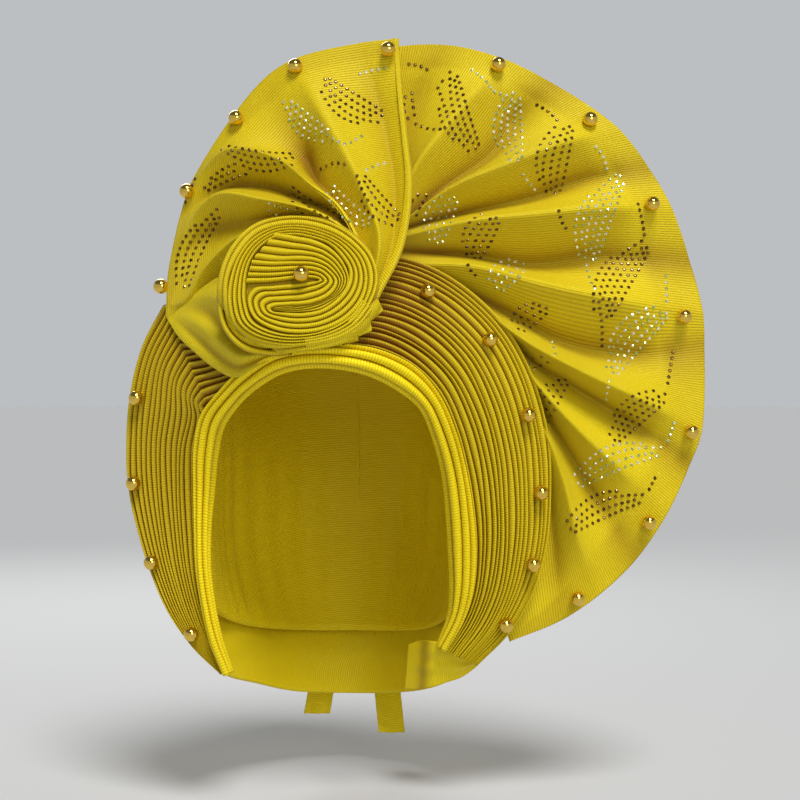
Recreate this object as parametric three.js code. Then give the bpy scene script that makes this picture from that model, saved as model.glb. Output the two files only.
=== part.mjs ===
// Tied gele head tie: a pleated band round the face, a folded fan, a folded panel that
// winds into a rosette, and a cap behind them. Millimetres, +Z up, front towards -Y.
// The origin is at the middle of the head hollow, at the height of the brow.
import * as THREE from 'three';

// Driving dimensions
const CLOTH = 1.6;            // plain cloth, doubled
const PLEAT_WALL = 1.2;       // pleated cloth at the bottom of a pleat
const PLEAT_RISE = 1.6;       // from the bottom of a pleat to its crest
const GAP = 0.4;              // clearance between neighbouring pieces
const SEAM_GAP = 1.0;         // clearance along the seam between the roll and the wide pleats
const BACK_INSET = 0.05;      // how far a pleated wall's back edges are bevelled in
const BEAD_RADIUS = 4;
const BRIM_PLEATS = 14;
const WING_PLEATS = 13;
const ROLL_PLEATS = 3;
const ROLL_TURN_UNDER = 7;    // how far the roll's inner edge turns back to the head
const ROLL_FULL_WIDTH = 8;    // where the roll is narrower than this, it turns back less
const THIN_ROLL = 6;          // where it is narrower than this, its pleats are lower
const THIN_WING = 20;         // where the left wing is narrower than this, its pleats are lower
const BRIM_BULGE = 3;         // how far the right brim's middle stands out
const SWATHE_FOLD = 2.5;      // depth of the swathe's soft fold
const TAIL_WIDTH = 16;
const TAIL_NECK = 7;          // a tail's width at the knot

// How many steps each piece is cut into, along it and across it
const CUTS = {
  roll: { along: 36, back: 4 },
  wing: { along: 20, back: 4 },
  brim: { along: 24, back: 5 },
  fan: { perFold: 2, across: 7 },
  swirl: { perFold: 3, across: 9 },
  swathe: { along: 12, across: 6 },
  rosette: { along: 36, back: 4 },
  cap: { rings: 8 },
  nape: { along: 24, across: 4 },
  knot: { along: 14, across: 8 },
  tail: { along: 8, across: 2 },
  bead: { along: 10, across: 6 },
};

// The band round the face, from the left tip over the forehead to the lower right end:
// rim is the edge of the face opening, seam is where the front roll meets the wide pleats,
// and outer is the outer edge of the wide pleats, where they show.
const BAND = [
  { at: 'left tip', rim: [-53, -41, -131], seam: [-54.5, -41, -131.5], outer: [-57.5, -41, -131] },
  { at: 'left jaw', rim: [-58.5, -44, -113], seam: [-61.5, -43.5, -114], outer: [-73, -40, -117] },
  { at: 'left cheek', rim: [-62, -46, -96], seam: [-65.5, -45.5, -96.5], outer: [-86.5, -38, -98.5] },
  { at: 'left ear', rim: [-64.5, -48, -75.5], seam: [-68.5, -47.5, -75.5], outer: [-97, -36, -75] },
  { at: 'left cheekbone', rim: [-64.5, -49, -54], seam: [-69.5, -48.5, -53.5], outer: [-104, -34, -53.5] },
  { at: 'left temple', rim: [-62.5, -51, -33], seam: [-70, -50, -30], outer: [-109, -33, -29.5] },
  { at: 'left brow', rim: [-60, -56.5, -14], seam: [-69.5, -54, -10], outer: [-110, -33, -5.5] },
  { at: 'left hairline', rim: [-56, -63, 2], seam: [-65, -61.5, 8], outer: [-108, -34, 18.5] },
  { at: 'left forehead', rim: [-48, -70, 13.5], seam: [-54.5, -70, 20.5] },
  { at: 'left top', rim: [-37.5, -78, 23], seam: [-42, -79, 32] },
  { at: 'left crown', rim: [-22.5, -86, 31.5], seam: [-26.5, -88, 41.5] },
  { at: 'middle', rim: [-7, -91, 34.5], seam: [-9, -92, 44], outer: [-13, -64, 88] },
  { at: 'under rosette', rim: [11, -92, 33.5], seam: [13, -92, 43.5], outer: [10, -62, 90.5] },
  { at: 'right crown', rim: [26, -89, 29.5], seam: [30, -89, 40.5], outer: [37, -58, 92.5] },
  { at: 'right top', rim: [40, -84, 22], seam: [46, -83, 32.5], outer: [64, -53, 83] },
  { at: 'right forehead', rim: [51, -77, 12.5], seam: [58, -76, 19], outer: [92.5, -46, 60] },
  { at: 'right hairline', rim: [58, -68, -3.5], seam: [67, -67, 0], outer: [109, -41, 33] },
  { at: 'right brow', rim: [63, -59, -22], seam: [73, -58, -20.5], outer: [119, -36, -2] },
  { at: 'right temple', rim: [65.5, -52, -42.5], seam: [77, -51, -41.5], outer: [121, -33, -33] },
  { at: 'right cheekbone', rim: [67, -45, -64.5], seam: [79, -44, -64.5], outer: [119, -31, -63] },
  { at: 'right ear', rim: [68, -38, -86.5], seam: [77.5, -37, -88], outer: [112, -28, -88.5] },
  { at: 'right cheek', rim: [67, -32, -101.5], seam: [72.5, -31, -103.5], outer: [100, -24, -110.5] },
  { at: 'right end', rim: [61, -25, -119], seam: [62.5, -24.5, -121], outer: [81.5, -20, -130] },
];
const LEFT_ROWS = [0, 7];
const RIGHT_ROWS = [11, 22];

// Where the left wing's pleats turn at the mitre, and where they end under the swathe
const MITRE = [
  { at: 'below the mitre', inner: [-65, -63, 12], outer: [-100.5, -38, 45.5] },
  { at: 'mitre', inner: [-62.5, -65, 15], outer: [-88.5, -42, 68] },
  { at: 'pleat ends', inner: [-45, -73, 34.5], outer: [-84, -45, 70] },
];

// The fan's fold lines, clockwise from its top edge: foot behind the brim, a point half way
// out, the rim, and how far the fold stands out (ridge) or in (valley) half way
const FAN_FOLDS = [
  { at: 'edge behind the swirl panel', foot: [31, 88], half: [27, 150], rim: [17, 204], lift: 0 },
  { at: 'valley 1', foot: [37, 89], half: [45, 155], rim: [48.5, 211.5], lift: -3 },
  { at: 'ridge 1', foot: [39, 89.5], half: [58.5, 159.5], rim: [93.5, 201.5], lift: 5 },
  { at: 'valley 2', foot: [40.5, 89.5], half: [82, 147.5], rim: [122.5, 187.5], lift: -6 },
  { at: 'ridge 2', foot: [42, 89.5], half: [87, 139], rim: [155, 164], lift: 7 },
  { at: 'valley 3', foot: [43.5, 89], half: [104, 125], rim: [173.5, 141.5], lift: -7 },
  { at: 'ridge 3', foot: [45, 88], half: [116.5, 117], rim: [186, 120], lift: 8 },
  { at: 'valley 4', foot: [47, 86.5], half: [115, 89.5], rim: [198.5, 90.5], lift: -7 },
  { at: 'ridge 4', foot: [50, 84.5], half: [116, 78], rim: [204, 65.5], lift: 8 },
  { at: 'valley 5', foot: [63, 80], half: [137, 47], rim: [206, 45], lift: -7 },
  { at: 'ridge 5', foot: [82, 66], half: [146, 31], rim: [204, 0.5], lift: 8 },
  { at: 'valley 6', foot: [93, 53], half: [137, 15], rim: [197, -19], lift: -5 },
  { at: 'ridge 6', foot: [103, 37], half: [139, -8], rim: [185, -44], lift: 4 },
  { at: 'valley 7', foot: [110, 17], half: [136, -22], rim: [168.5, -69.5], lift: -4 },
  { at: 'ridge 7', foot: [114.5, -6], half: [129, -42], rim: [149, -89.5], lift: 4 },
  { at: 'valley 8', foot: [115, -45], half: [119.5, -72], rim: [126, -105], lift: -2 },
  { at: 'lower edge', foot: [95, -107], half: [97, -111.5], rim: [98.5, -116.5], lift: 0 },
];
const FAN_RIM_Y = { top: -34, side: -22, low: -17 };
const FAN_TOP_Z = [90, 210];      // over these heights the rim moves from side to top
const FAN_LOW_Z = [-50, -115];    // and over these from side to low

// The swirl panel's fold lines, from its right edge anticlockwise: foot under the rosette,
// knee, shoulder and rim, and how far the fold stands out (ridge) or in (valley)
const SWIRL_FOLDS = [
  {
    at: 'right edge', lift: 0,
    foot: [24.5, -91, 68], knee: [40, -78, 95], shoulder: [44, -60, 130], rim: [38, -40, 211],
  },
  {
    at: 'hollow', lift: -2,
    foot: [22.5, -90, 74], knee: [33, -75, 106], shoulder: [27, -52, 160], rim: [9, -38, 205.5],
  },
  {
    at: 'soft ridge', lift: 4,
    foot: [21, -89, 79], knee: [24, -74, 110], shoulder: [3, -52, 158], rim: [-23.5, -36, 197],
  },
  {
    at: 'deep crease', lift: -7,
    foot: [19, -88.5, 83], knee: [14, -74, 111], shoulder: [-10, -56, 148], rim: [-40, -35, 185.5],
  },
  {
    at: 'upper ridge', lift: 8,
    foot: [17, -88, 87], knee: [5.5, -75, 116], shoulder: [-26, -56, 141], rim: [-66.5, -33, 147.5],
  },
  {
    at: 'upper pocket', lift: -8,
    foot: [12, -87.5, 91], knee: [-6, -74, 116], shoulder: [-36, -54, 131], rim: [-75, -32, 132],
  },
  {
    at: 'middle ridge', lift: 8,
    foot: [6, -87, 94], knee: [-14, -77, 113.5], shoulder: [-42, -60, 119], rim: [-80.5, -33, 113],
  },
  {
    at: 'lower pocket', lift: -6,
    foot: [-6, -86.5, 96], knee: [-26, -75, 107.5], shoulder: [-57, -55, 104], rim: [-85, -36, 94],
  },
  {
    at: 'lower ridge', lift: 3,
    foot: [-20, -87, 94], knee: [-43, -77, 98], shoulder: [-65, -60, 85], rim: [-87, -48.5, 71],
  },
  {
    at: 'lip', lift: 0,
    foot: [-34, -88, 80], knee: [-55, -75, 70], shoulder: [-71, -60, 63], rim: [-86, -52.5, 61.5],
  },
];

// The swathe under the rosette, from its left corner to where it runs under the rosette
const SWATHE = [
  { at: 'left corner', lower: [-85, -47.8, 59], upper: [-76, -51.9, 66] },
  { at: 'over the upper pleat ends', lower: [-79, -54, 50], upper: [-62, -63.5, 73] },
  { at: 'middle', lower: [-68.5, -62.5, 40.5], upper: [-50, -74, 74] },
  { at: 'over the lower pleat ends', lower: [-57, -71.5, 33], upper: [-40, -82, 67] },
  { at: 'beside the roll', lower: [-47.5, -78, 30.5], upper: [-30, -88, 60] },
  { at: 'under the rosette', lower: [-31, -86, 41], upper: [-17, -91.5, 54] },
];

// The rosette is an oval dome of rising and falling loops
const ROSETTE = {
  x: -11,
  y: -91.5,
  z: 78,
  halfWidth: 38.7,
  halfHeight: 33,
  dome: 11,
  backDome: 0.92,
  loops: 6,
  lean: 0.12,
};

// The head that the cap fits: half-widths each way, and how its middle line turns with depth
const HEAD = {
  halfWidth: 73,
  front: 86,
  back: 96,
  top: 93,
  middle: -8,
  squareness: 2.4,
  slope: 0.09,
  slopeFrom: -50,
  drawInFrom: -50,
  drawInOver: 70,
  drawIn: 0.25,
  drawInAngles: [70, 130],
};

// The cap's hem, from below the right ear round the nape to below the left ear. In front of
// the ears the cap starts outside the front roll's turned edge.
const CAP_FRONT_ROWS = [3, 20];
const CAP_HEM = [
  { at: 'below the right ear', hem: [70, -18, -99] },
  { at: 'right of the neck', hem: [64, 8, -109] },
  { at: 'behind the right ear', hem: [55, 34, -117] },
  { at: 'right of the nape', hem: [36, 60, -122] },
  { at: 'nape', hem: [11, 69, -123] },
  { at: 'left of the nape', hem: [-16, 62, -122] },
  { at: 'behind the left ear', hem: [-42, 36, -117] },
  { at: 'left of the neck', hem: [-58, 8, -109] },
  { at: 'below the left ear', hem: [-66, -20, -97] },
];

// The plain cloth from the lower right end round the nape to the left tip. Behind the ears
// its upper edge lies on the cap, given by the angle round the head from the front.
const NAPE = [
  { at: 'free end', lower: [56, -12, -143], upper: [56.5, -20, -124.5] },
  { at: 'end, middle', lower: [65, -12, -140.5], upper: [65, -19, -127] },
  { at: 'end, outer', lower: [73, -10, -138], upper: [74, -16.5, -130] },
  { at: 'right turn', lower: [78.5, -3, -135], upper: [83, -9, -126] },
  { at: 'right side', lower: [73, 8, -140], upper: [84, 6, -108] },
  { at: 'behind the right ear', lower: [58, 27, -150], angle: 115, height: -98 },
  { at: 'right of the nape', lower: [38, 50, -157], angle: 145, height: -92 },
  { at: 'nape', lower: [10, 65, -160], angle: 180, height: -88 },
  { at: 'left of the nape', lower: [-22, 48, -156], angle: 215, height: -92 },
  { at: 'behind the left ear', lower: [-44, 18, -146], angle: 250, height: -98 },
  { at: 'left side', lower: [-54, -12, -138], upper: [-76, -4, -106] },
  { at: 'behind the left tip', lower: [-56, -33, -131], upper: [-72, -32, -115] },
];
const KNOT = { x: 12, y: 92.6, z: -104, halfWidth: 13, halfDepth: 7, halfHeight: 9, tailsApart: 12 };
const TAILS = [
  { side: 'left', bow: [-3, 4, 0], end: [-12, 84, -176] },
  { side: 'right', bow: [3, 4, 0], end: [34, 76, -186] },
];

// The beads, seated on the front of the piece that carries them
const BEADS = [
  { name: 'swirl_1', on: 'swirl_panel', x: 32.5, z: 204 },
  { name: 'swirl_2', on: 'swirl_panel', x: -17.5, z: 195.5 },
  { name: 'swirl_3', on: 'swirl_panel', x: -49.5, z: 168 },
  { name: 'swirl_4', on: 'swirl_panel', x: -76.5, z: 129 },
  { name: 'swirl_5', on: 'swirl_panel', x: -88.5, z: 76.5 },
  { name: 'wing_1', on: 'left_wing', x: -103, z: 17 },
  { name: 'wing_2', on: 'left_wing', x: -105, z: -29 },
  { name: 'wing_3', on: 'left_wing', x: -95, z: -71.5 },
  { name: 'wing_4', on: 'left_wing', x: -73, z: -109.5 },
  { name: 'rosette_middle', on: 'rosette', x: -10.5, z: 79 },
  { name: 'brim_1', on: 'right_brim', x: 53.5, z: 73 },
  { name: 'brim_2', on: 'right_brim', x: 86.5, z: 48 },
  { name: 'brim_3', on: 'right_brim', x: 107.5, z: 8 },
  { name: 'brim_4', on: 'right_brim', x: 115, z: -34 },
  { name: 'brim_5', on: 'right_brim', x: 111, z: -73 },
  { name: 'brim_6', on: 'right_brim', x: 96.5, z: -106.5 },
  { name: 'fan_1', on: 'fan_panel', x: 92, z: 197 },
  { name: 'fan_2', on: 'fan_panel', x: 142, z: 168 },
  { name: 'fan_3', on: 'fan_panel', x: 176, z: 122.5 },
  { name: 'fan_4', on: 'fan_panel', x: 194, z: 61.5 },
  { name: 'fan_5', on: 'fan_panel', x: 198, z: -1.5 },
  { name: 'fan_6', on: 'fan_panel', x: 175, z: -51 },
  { name: 'fan_7', on: 'fan_panel', x: 136.5, z: -93 },
];

// Beads are moved back on to the cloth from this depth, in ever finer steps
const BEAD_START_Y = -130;
const BEAD_STEPS = [2, 0.2, 0.02];

const YELLOW = { color: 0xe8c400, roughness: 0.55, metalness: 0 };
const GOLD = { color: 0xd9a441, roughness: 0.2, metalness: 1 };

const gele = new THREE.Group();

function vector(numbers) {
  return new THREE.Vector3(...numbers);
}

function mix(a, b, share) {
  return a + (b - a) * share;
}

function smoothCurve(rows, column) {
  return new THREE.CatmullRomCurve3(rows.map((row) => vector(row[column])), false, 'centripetal');
}

function steps(count) {
  return Array.from({ length: count + 1 }, (_, i) => i / count);
}

// A grid of points: one list for each step along, one point for each step across
function makeGrid(along, across, pointAt) {
  return along.map((t) => across.map((w) => pointAt(t, w)));
}

// The unit normal at each grid point, on the side that faces the front of the piece
function gridNormals(grid, facing) {
  return grid.map((row, i) => row.map((point, j) => {
    const next = grid[Math.min(i + 1, grid.length - 1)][j];
    const last = grid[Math.max(i - 1, 0)][j];
    const right = row[Math.min(j + 1, row.length - 1)];
    const left = row[Math.max(j - 1, 0)];
    const normal = next.clone().sub(last).cross(right.clone().sub(left)).normalize();
    return normal.multiplyScalar(facing);
  }));
}

function moveAlong(grid, normals, distanceAt) {
  return grid.map((row, i) => row.map((point, j) => (
    point.clone().addScaledVector(normals[i][j], distanceAt(i, j)))));
}

// Triangles gathered into one closed body; points closer than a micron are the same point
class Skin {
  constructor() {
    this.points = [];
    this.corners = [];
    this.known = new Map();
  }

  indexOf(point) {
    const key = point.toArray().map((value) => Math.round(value * 1000)).join(',');
    if (!this.known.has(key)) {
      this.known.set(key, this.points.length);
      this.points.push(point);
    }
    return this.known.get(key);
  }

  triangle(a, b, c) {
    const ids = [this.indexOf(a), this.indexOf(b), this.indexOf(c)];
    if (new Set(ids).size === 3) this.corners.push(ids);
  }

  quad(a, b, c, d) {
    this.triangle(a, b, c);
    this.triangle(a, c, d);
  }

  grid(grid, flipped) {
    for (let i = 0; i < grid.length - 1; i += 1) {
      for (let j = 0; j < grid[i].length - 1; j += 1) {
        const [a, b, c, d] = [grid[i][j], grid[i][j + 1], grid[i + 1][j + 1], grid[i + 1][j]];
        if (flipped) this.quad(d, c, b, a);
        else this.quad(a, b, c, d);
      }
    }
  }

  // The end between a front row and a back row that may have fewer points
  end(frontRow, backRow, flipped) {
    let i = 0;
    let j = 0;
    while (i < frontRow.length - 1 || j < backRow.length - 1) {
      const frontNext = (i + 1) / (frontRow.length - 1);
      const backNext = (j + 1) / (backRow.length - 1);
      const backDone = j === backRow.length - 1;
      const stepFront = backDone || (i < frontRow.length - 1 && frontNext <= backNext);
      const third = stepFront ? frontRow[i + 1] : backRow[j + 1];
      if (flipped) this.triangle(backRow[j], frontRow[i], third);
      else this.triangle(frontRow[i], backRow[j], third);
      if (stepFront) i += 1;
      else j += 1;
    }
  }

  // The two long sides between a front grid and a back grid
  sides(front, back) {
    for (let i = 0; i < front.length - 1; i += 1) {
      const lastFront = front[i].length - 1;
      const lastBack = back[i].length - 1;
      this.quad(front[i + 1][0], back[i + 1][0], back[i][0], front[i][0]);
      this.quad(front[i][lastFront], back[i][lastBack], back[i + 1][lastBack], front[i + 1][lastFront]);
    }
  }

  geometry() {
    let volume = 0;
    for (const [a, b, c] of this.corners) {
      volume += this.points[a].dot(this.points[b].clone().cross(this.points[c]));
    }
    const outward = volume > 0 ? this.corners : this.corners.map(([a, b, c]) => [a, c, b]);
    const geometry = new THREE.BufferGeometry();
    const positions = this.points.flatMap((point) => point.toArray());
    geometry.setAttribute('position', new THREE.Float32BufferAttribute(positions, 3));
    geometry.setIndex(outward.flat());
    geometry.computeVertexNormals();
    return geometry;
  }
}

// A closed wall between a front grid and a back grid with the same number of rows. A looped
// wall's last row is its first one again, so it has no ends.
function closedWall(front, back, looped = false) {
  const skin = new Skin();
  skin.grid(front, false);
  skin.grid(back, true);
  skin.sides(front, back);
  if (!looped) {
    skin.end(front[0], back[0], false);
    skin.end(front[front.length - 1], back[back.length - 1], true);
  }
  return skin.geometry();
}

function addPiece(name, geometry, look) {
  const mesh = new THREE.Mesh(geometry, new THREE.MeshStandardMaterial(look));
  mesh.name = name;
  gele.add(mesh);
  return mesh;
}

// A pleat's height across its width: 0 in the creases, 1 on the crest
function pleatHeight(w, pleats) {
  const across = (w * pleats) % 1;
  return 1 - Math.abs(2 * across - 1);
}

// A pleated wall: ridged in front and smooth behind
function addPleatedWall(name, along, pleats, backSteps, surfaceAt, riseAt) {
  const frontBase = makeGrid(along, steps(pleats * 2), surfaceAt);
  const backAcross = steps(backSteps).map((w) => mix(BACK_INSET, 1 - BACK_INSET, w));
  const backBase = makeGrid(along, backAcross, surfaceAt);
  const across = steps(pleats * 2);
  const front = moveAlong(frontBase, gridNormals(frontBase, 1), (i, j) => (
    PLEAT_RISE * riseAt(along[i]) * (pleatHeight(across[j], pleats) - 1)));
  const back = moveAlong(backBase, gridNormals(backBase, 1), (i) => (
    -(PLEAT_RISE + PLEAT_WALL) * riseAt(along[i])));
  addPiece(name, closedWall(front, back), YELLOW);
}

// Front roll: thick pleats round the face whose inner edge turns back to the head
function addFrontRoll() {
  const rim = smoothCurve(BAND, 'rim');
  const seam = smoothCurve(BAND, 'seam');
  const pleats = ROLL_PLEATS + 1;
  const turned = 1 / pleats;
  const surfaceAt = (t, w) => {
    const inner = rim.getPoint(t);
    const outer = seam.getPoint(t);
    if (w >= turned) return inner.lerp(outer, (w - turned) / (1 - turned));
    const share = 1 - w / turned;
    const outward = outer.clone().sub(inner).normalize();
    const depth = ROLL_TURN_UNDER * Math.min(1, inner.distanceTo(outer) / ROLL_FULL_WIDTH);
    return inner.addScaledVector(outward, 0.5 * share).add(new THREE.Vector3(0, depth * share, 0));
  };
  const riseAt = (t) => Math.min(1, rim.getPoint(t).distanceTo(seam.getPoint(t)) / THIN_ROLL);
  addPleatedWall('front_roll', steps(CUTS.roll.along), pleats, CUTS.roll.back, surfaceAt, riseAt);
}

// Left wing: pleats that rise beside the face, turn at the mitre and end under the swathe
function addLeftWing() {
  const rows = BAND.slice(LEFT_ROWS[0], LEFT_ROWS[1] + 1).map((row) => (
    { inner: beyondSeam(row.seam, row.outer), outer: row.outer }));
  const toMitre = rows.concat(MITRE.slice(0, 2));
  const inner = smoothCurve(toMitre, 'inner');
  const outer = smoothCurve(toMitre, 'outer');
  const ends = MITRE[2];
  const turn = 0.8;              // the share of the way along where the pleats turn
  const afterTurn = [0.87, 0.94, 1];
  const surfaceAt = (t, w) => {
    if (t <= turn) return inner.getPoint(t / turn).lerp(outer.getPoint(t / turn), w);
    const atMitre = inner.getPoint(1).lerp(outer.getPoint(1), w);
    const atEnd = vector(ends.inner).lerp(vector(ends.outer), w);
    return atMitre.lerp(atEnd, (t - turn) / (1 - turn));
  };
  const along = steps(CUTS.wing.along).map((t) => t * turn).concat(afterTurn);
  const riseAt = (t) => {
    const rising = Math.min(t / turn, 1);
    return Math.min(1, inner.getPoint(rising).distanceTo(outer.getPoint(rising)) / THIN_WING);
  };
  addPleatedWall('left_wing', along, WING_PLEATS, CUTS.wing.back, surfaceAt, riseAt);
}

// The seam with the small clearance that keeps the wide pleats off the front roll
function beyondSeam(seam, outer) {
  const start = vector(seam);
  const outward = vector(outer).sub(start).normalize();
  return start.addScaledVector(outward, SEAM_GAP).toArray();
}

// Right brim: the same pleats, from under the rosette down to the lower right end
function brimRows() {
  return BAND.slice(RIGHT_ROWS[0], RIGHT_ROWS[1] + 1).map((row) => (
    { inner: beyondSeam(row.seam, row.outer), outer: row.outer }));
}

function brimSurface() {
  const rows = brimRows();
  const inner = smoothCurve(rows, 'inner');
  const outer = smoothCurve(rows, 'outer');
  return (t, w) => {
    const point = inner.getPoint(t).lerp(outer.getPoint(t), w);
    return point.add(new THREE.Vector3(0, -BRIM_BULGE * Math.sin(Math.PI * w), 0));
  };
}

function addRightBrim() {
  addPleatedWall('right_brim', steps(CUTS.brim.along), BRIM_PLEATS, CUTS.brim.back, brimSurface(), () => 1);
}

// How far a fold stands out along its length: gathered at the foot, open half way, soft at the rim
function foldSwell(r) {
  return Math.sin(Math.PI * mix(0.05, 0.95, r)) ** 1.4;
}

// Fan: flat facets between the fold lines, from behind the brim to the rim
function addFan() {
  const along = steps((FAN_FOLDS.length - 1) * CUTS.fan.perFold);
  const rim = new THREE.CatmullRomCurve3(
    FAN_FOLDS.map((fold) => new THREE.Vector3(fold.rim[0], 0, fold.rim[1])), false, 'centripetal');
  const brimEdge = smoothCurve(brimRows(), 'outer').getPoints(CUTS.brim.along * 2);
  const footDepths = FAN_FOLDS.map((fold) => {
    const away = (point) => Math.hypot(point.x - fold.foot[0], point.z - fold.foot[1]);
    const nearest = brimEdge.reduce((best, point) => (away(point) < away(best) ? point : best));
    return nearest.y + PLEAT_RISE + PLEAT_WALL + GAP * 3;
  });
  const lineAt = (fold, r) => {
    const bend = 4 * r * (1 - r);
    const straight = [0, 1].map((k) => mix(fold.foot[k], fold.rim[k], r));
    const middle = [0, 1].map((k) => mix(fold.foot[k], fold.rim[k], 0.5));
    return straight.map((value, k) => value + bend * (fold.half[k] - middle[k]));
  };
  const surfaceAt = (t, r) => {
    const place = t * (FAN_FOLDS.length - 1);
    const low = Math.min(Math.floor(place), FAN_FOLDS.length - 2);
    const share = place - low;
    const first = FAN_FOLDS[low];
    const second = FAN_FOLDS[low + 1];
    const a = lineAt(first, r);
    const b = lineAt(second, r);
    const chord = [mix(first.rim[0], second.rim[0], share), mix(first.rim[1], second.rim[1], share)];
    const arc = rim.getPoint(t);
    const roundOut = r * r;
    const x = mix(a[0], b[0], share) + (arc.x - chord[0]) * roundOut;
    const z = mix(a[1], b[1], share) + (arc.z - chord[1]) * roundOut;
    const height = mix(first.lift, second.lift, share) * foldSwell(r);
    const foot = mix(footDepths[low], footDepths[low + 1], share);
    return new THREE.Vector3(x, fanDepth(z, foot, r) - height, z);
  };
  const front = makeGrid(along, steps(CUTS.fan.across), surfaceAt);
  const back = moveAlong(front, gridNormals(front, 1), () => -CLOTH);
  addPiece('fan_panel', closedWall(front, back), YELLOW);
}

// The fan leans back from just behind the brim's outer edge to its rim
function fanDepth(z, foot, r) {
  const share = ([from, to]) => THREE.MathUtils.clamp((z - from) / (to - from), 0, 1);
  const upper = mix(FAN_RIM_Y.side, FAN_RIM_Y.top, share(FAN_TOP_Z));
  const rim = mix(upper, FAN_RIM_Y.low, share(FAN_LOW_Z));
  return mix(foot, rim, r);
}

// Swirl panel: folds that wind out from under the rosette to the rim
function addSwirlPanel() {
  const rim = smoothCurve(SWIRL_FOLDS, 'rim');
  const lines = SWIRL_FOLDS.map((fold) => new THREE.CatmullRomCurve3(
    [fold.foot, fold.knee, fold.shoulder, fold.rim].map(vector), false, 'centripetal'));
  const along = steps((SWIRL_FOLDS.length - 1) * CUTS.swirl.perFold);
  const surfaceAt = (t, r) => {
    const place = t * (SWIRL_FOLDS.length - 1);
    const low = Math.min(Math.floor(place), SWIRL_FOLDS.length - 2);
    const share = place - low;
    const point = lines[low].getPoint(r).lerp(lines[low + 1].getPoint(r), share);
    const chord = vector(SWIRL_FOLDS[low].rim).lerp(vector(SWIRL_FOLDS[low + 1].rim), share);
    point.addScaledVector(rim.getPoint(t).sub(chord), r * r);
    const eased = share * share * (3 - 2 * share);
    const lift = mix(SWIRL_FOLDS[low].lift, SWIRL_FOLDS[low + 1].lift, eased);
    point.y -= lift * foldSwell(r);
    return point;
  };
  const front = makeGrid(along, steps(CUTS.swirl.across), surfaceAt);
  const back = moveAlong(front, gridNormals(front, -1), () => -CLOTH);
  addPiece('swirl_panel', closedWall(front, back), YELLOW);
}

// Under swathe: plain cloth between the pleat ends and the rosette
function addUnderSwathe() {
  const lower = smoothCurve(SWATHE, 'lower');
  const upper = smoothCurve(SWATHE, 'upper');
  const surfaceAt = (t, w) => {
    const point = lower.getPoint(t).lerp(upper.getPoint(t), w);
    point.y -= SWATHE_FOLD * Math.sin(2 * Math.PI * w) * Math.sin(Math.PI * t);
    return point;
  };
  const front = makeGrid(steps(CUTS.swathe.along), steps(CUTS.swathe.across), surfaceAt);
  const back = moveAlong(front, gridNormals(front, 1), () => -CLOTH);
  addPiece('under_swathe', closedWall(front, back), YELLOW);
}

// Rosette: one ridge that winds outwards from the middle of an oval dome. Each turn moves
// every crest line out by one loop, so the last row meets the first one two lines further in.
function addRosette() {
  const lines = ROSETTE.loops * 2;
  const place = (angle, r, forward) => new THREE.Vector3(
    ROSETTE.x + ROSETTE.halfWidth * r * Math.cos(angle),
    ROSETTE.y + ROSETTE.lean * ROSETTE.halfHeight * r * Math.sin(angle) - forward,
    ROSETTE.z + ROSETTE.halfHeight * r * Math.sin(angle));
  const domeAt = (r) => ROSETTE.dome * Math.sqrt(Math.max(0, 1 - r ** 4));
  const frontAt = (turn, j) => {
    const r = j === 0 ? 0 : Math.min(1, (j + 2 * turn) / lines);
    const fade = Math.min(1, (1 - r) * lines);
    const crease = j % 2 === 1 ? 0 : PLEAT_RISE * fade;
    return place(2 * Math.PI * turn, r, domeAt(r) + PLEAT_WALL - crease);
  };
  const backAt = (turn, r) => place(
    2 * Math.PI * turn, r, domeAt(r) * ROSETTE.backDome - PLEAT_RISE);
  const turns = steps(CUTS.rosette.along);
  const front = turns.map((turn) => steps(lines).map((r) => frontAt(turn, Math.round(r * lines))));
  const back = turns.map((turn) => steps(CUTS.rosette.back).map((r) => backAt(turn, r)));
  const skin = new Skin();
  skin.grid(front, false);
  skin.grid(back, true);
  skin.sides(front, back);
  skin.triangle(front[0][0], front[0][2], front[0][1]);
  skin.triangle(front[0][0], front[0][3], front[0][2]);
  addPiece('rosette', skin.geometry(), YELLOW);
}

// A point on the cap's outer face, by the angle round the head from the front and the height
function headPoint(angle, z, outward) {
  const turn = THREE.MathUtils.degToRad(angle);
  const n = HEAD.squareness;
  const length = Math.cos(turn) > 0 ? HEAD.front : HEAD.back;
  const round = (Math.abs(Math.sin(turn) / HEAD.halfWidth) ** n
    + Math.abs(Math.cos(turn) / length) ** n) ** (-1 / n);
  const height = Math.max(0, (z - HEAD.middle) / (HEAD.top - HEAD.middle));
  const above = Math.max(0, 1 - height ** n) ** (1 / n);
  const aroundBack = Math.min(Math.abs(angle), 360 - Math.abs(angle));
  const backness = THREE.MathUtils.smoothstep(aroundBack, ...HEAD.drawInAngles);
  const low = Math.max(0, (HEAD.drawInFrom - z) / HEAD.drawInOver);
  const radius = round * above * (1 - HEAD.drawIn * backness * low * low) + outward;
  const y = -radius * Math.cos(turn);
  const x = radius * Math.sin(turn) + HEAD.slope * (y - HEAD.slopeFrom);
  return new THREE.Vector3(x, y, z);
}

// The cap's lower edge, all the way round, starting at the front roll's left ear row
function capEdge() {
  const behindRoll = BAND.slice(CAP_FRONT_ROWS[0], CAP_FRONT_ROWS[1] + 1).map((row) => {
    const rim = vector(row.rim);
    const outward = vector(row.seam).sub(rim).normalize();
    const back = new THREE.Vector3(0, PLEAT_RISE + PLEAT_WALL + GAP * 4, 0);
    return rim.addScaledVector(outward, PLEAT_RISE + PLEAT_WALL + CLOTH + GAP * 2).add(back);
  });
  const hem = CAP_HEM.map((row) => vector(row.hem));
  return [...behindRoll, ...hem, behindRoll[0].clone()];
}

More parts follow.
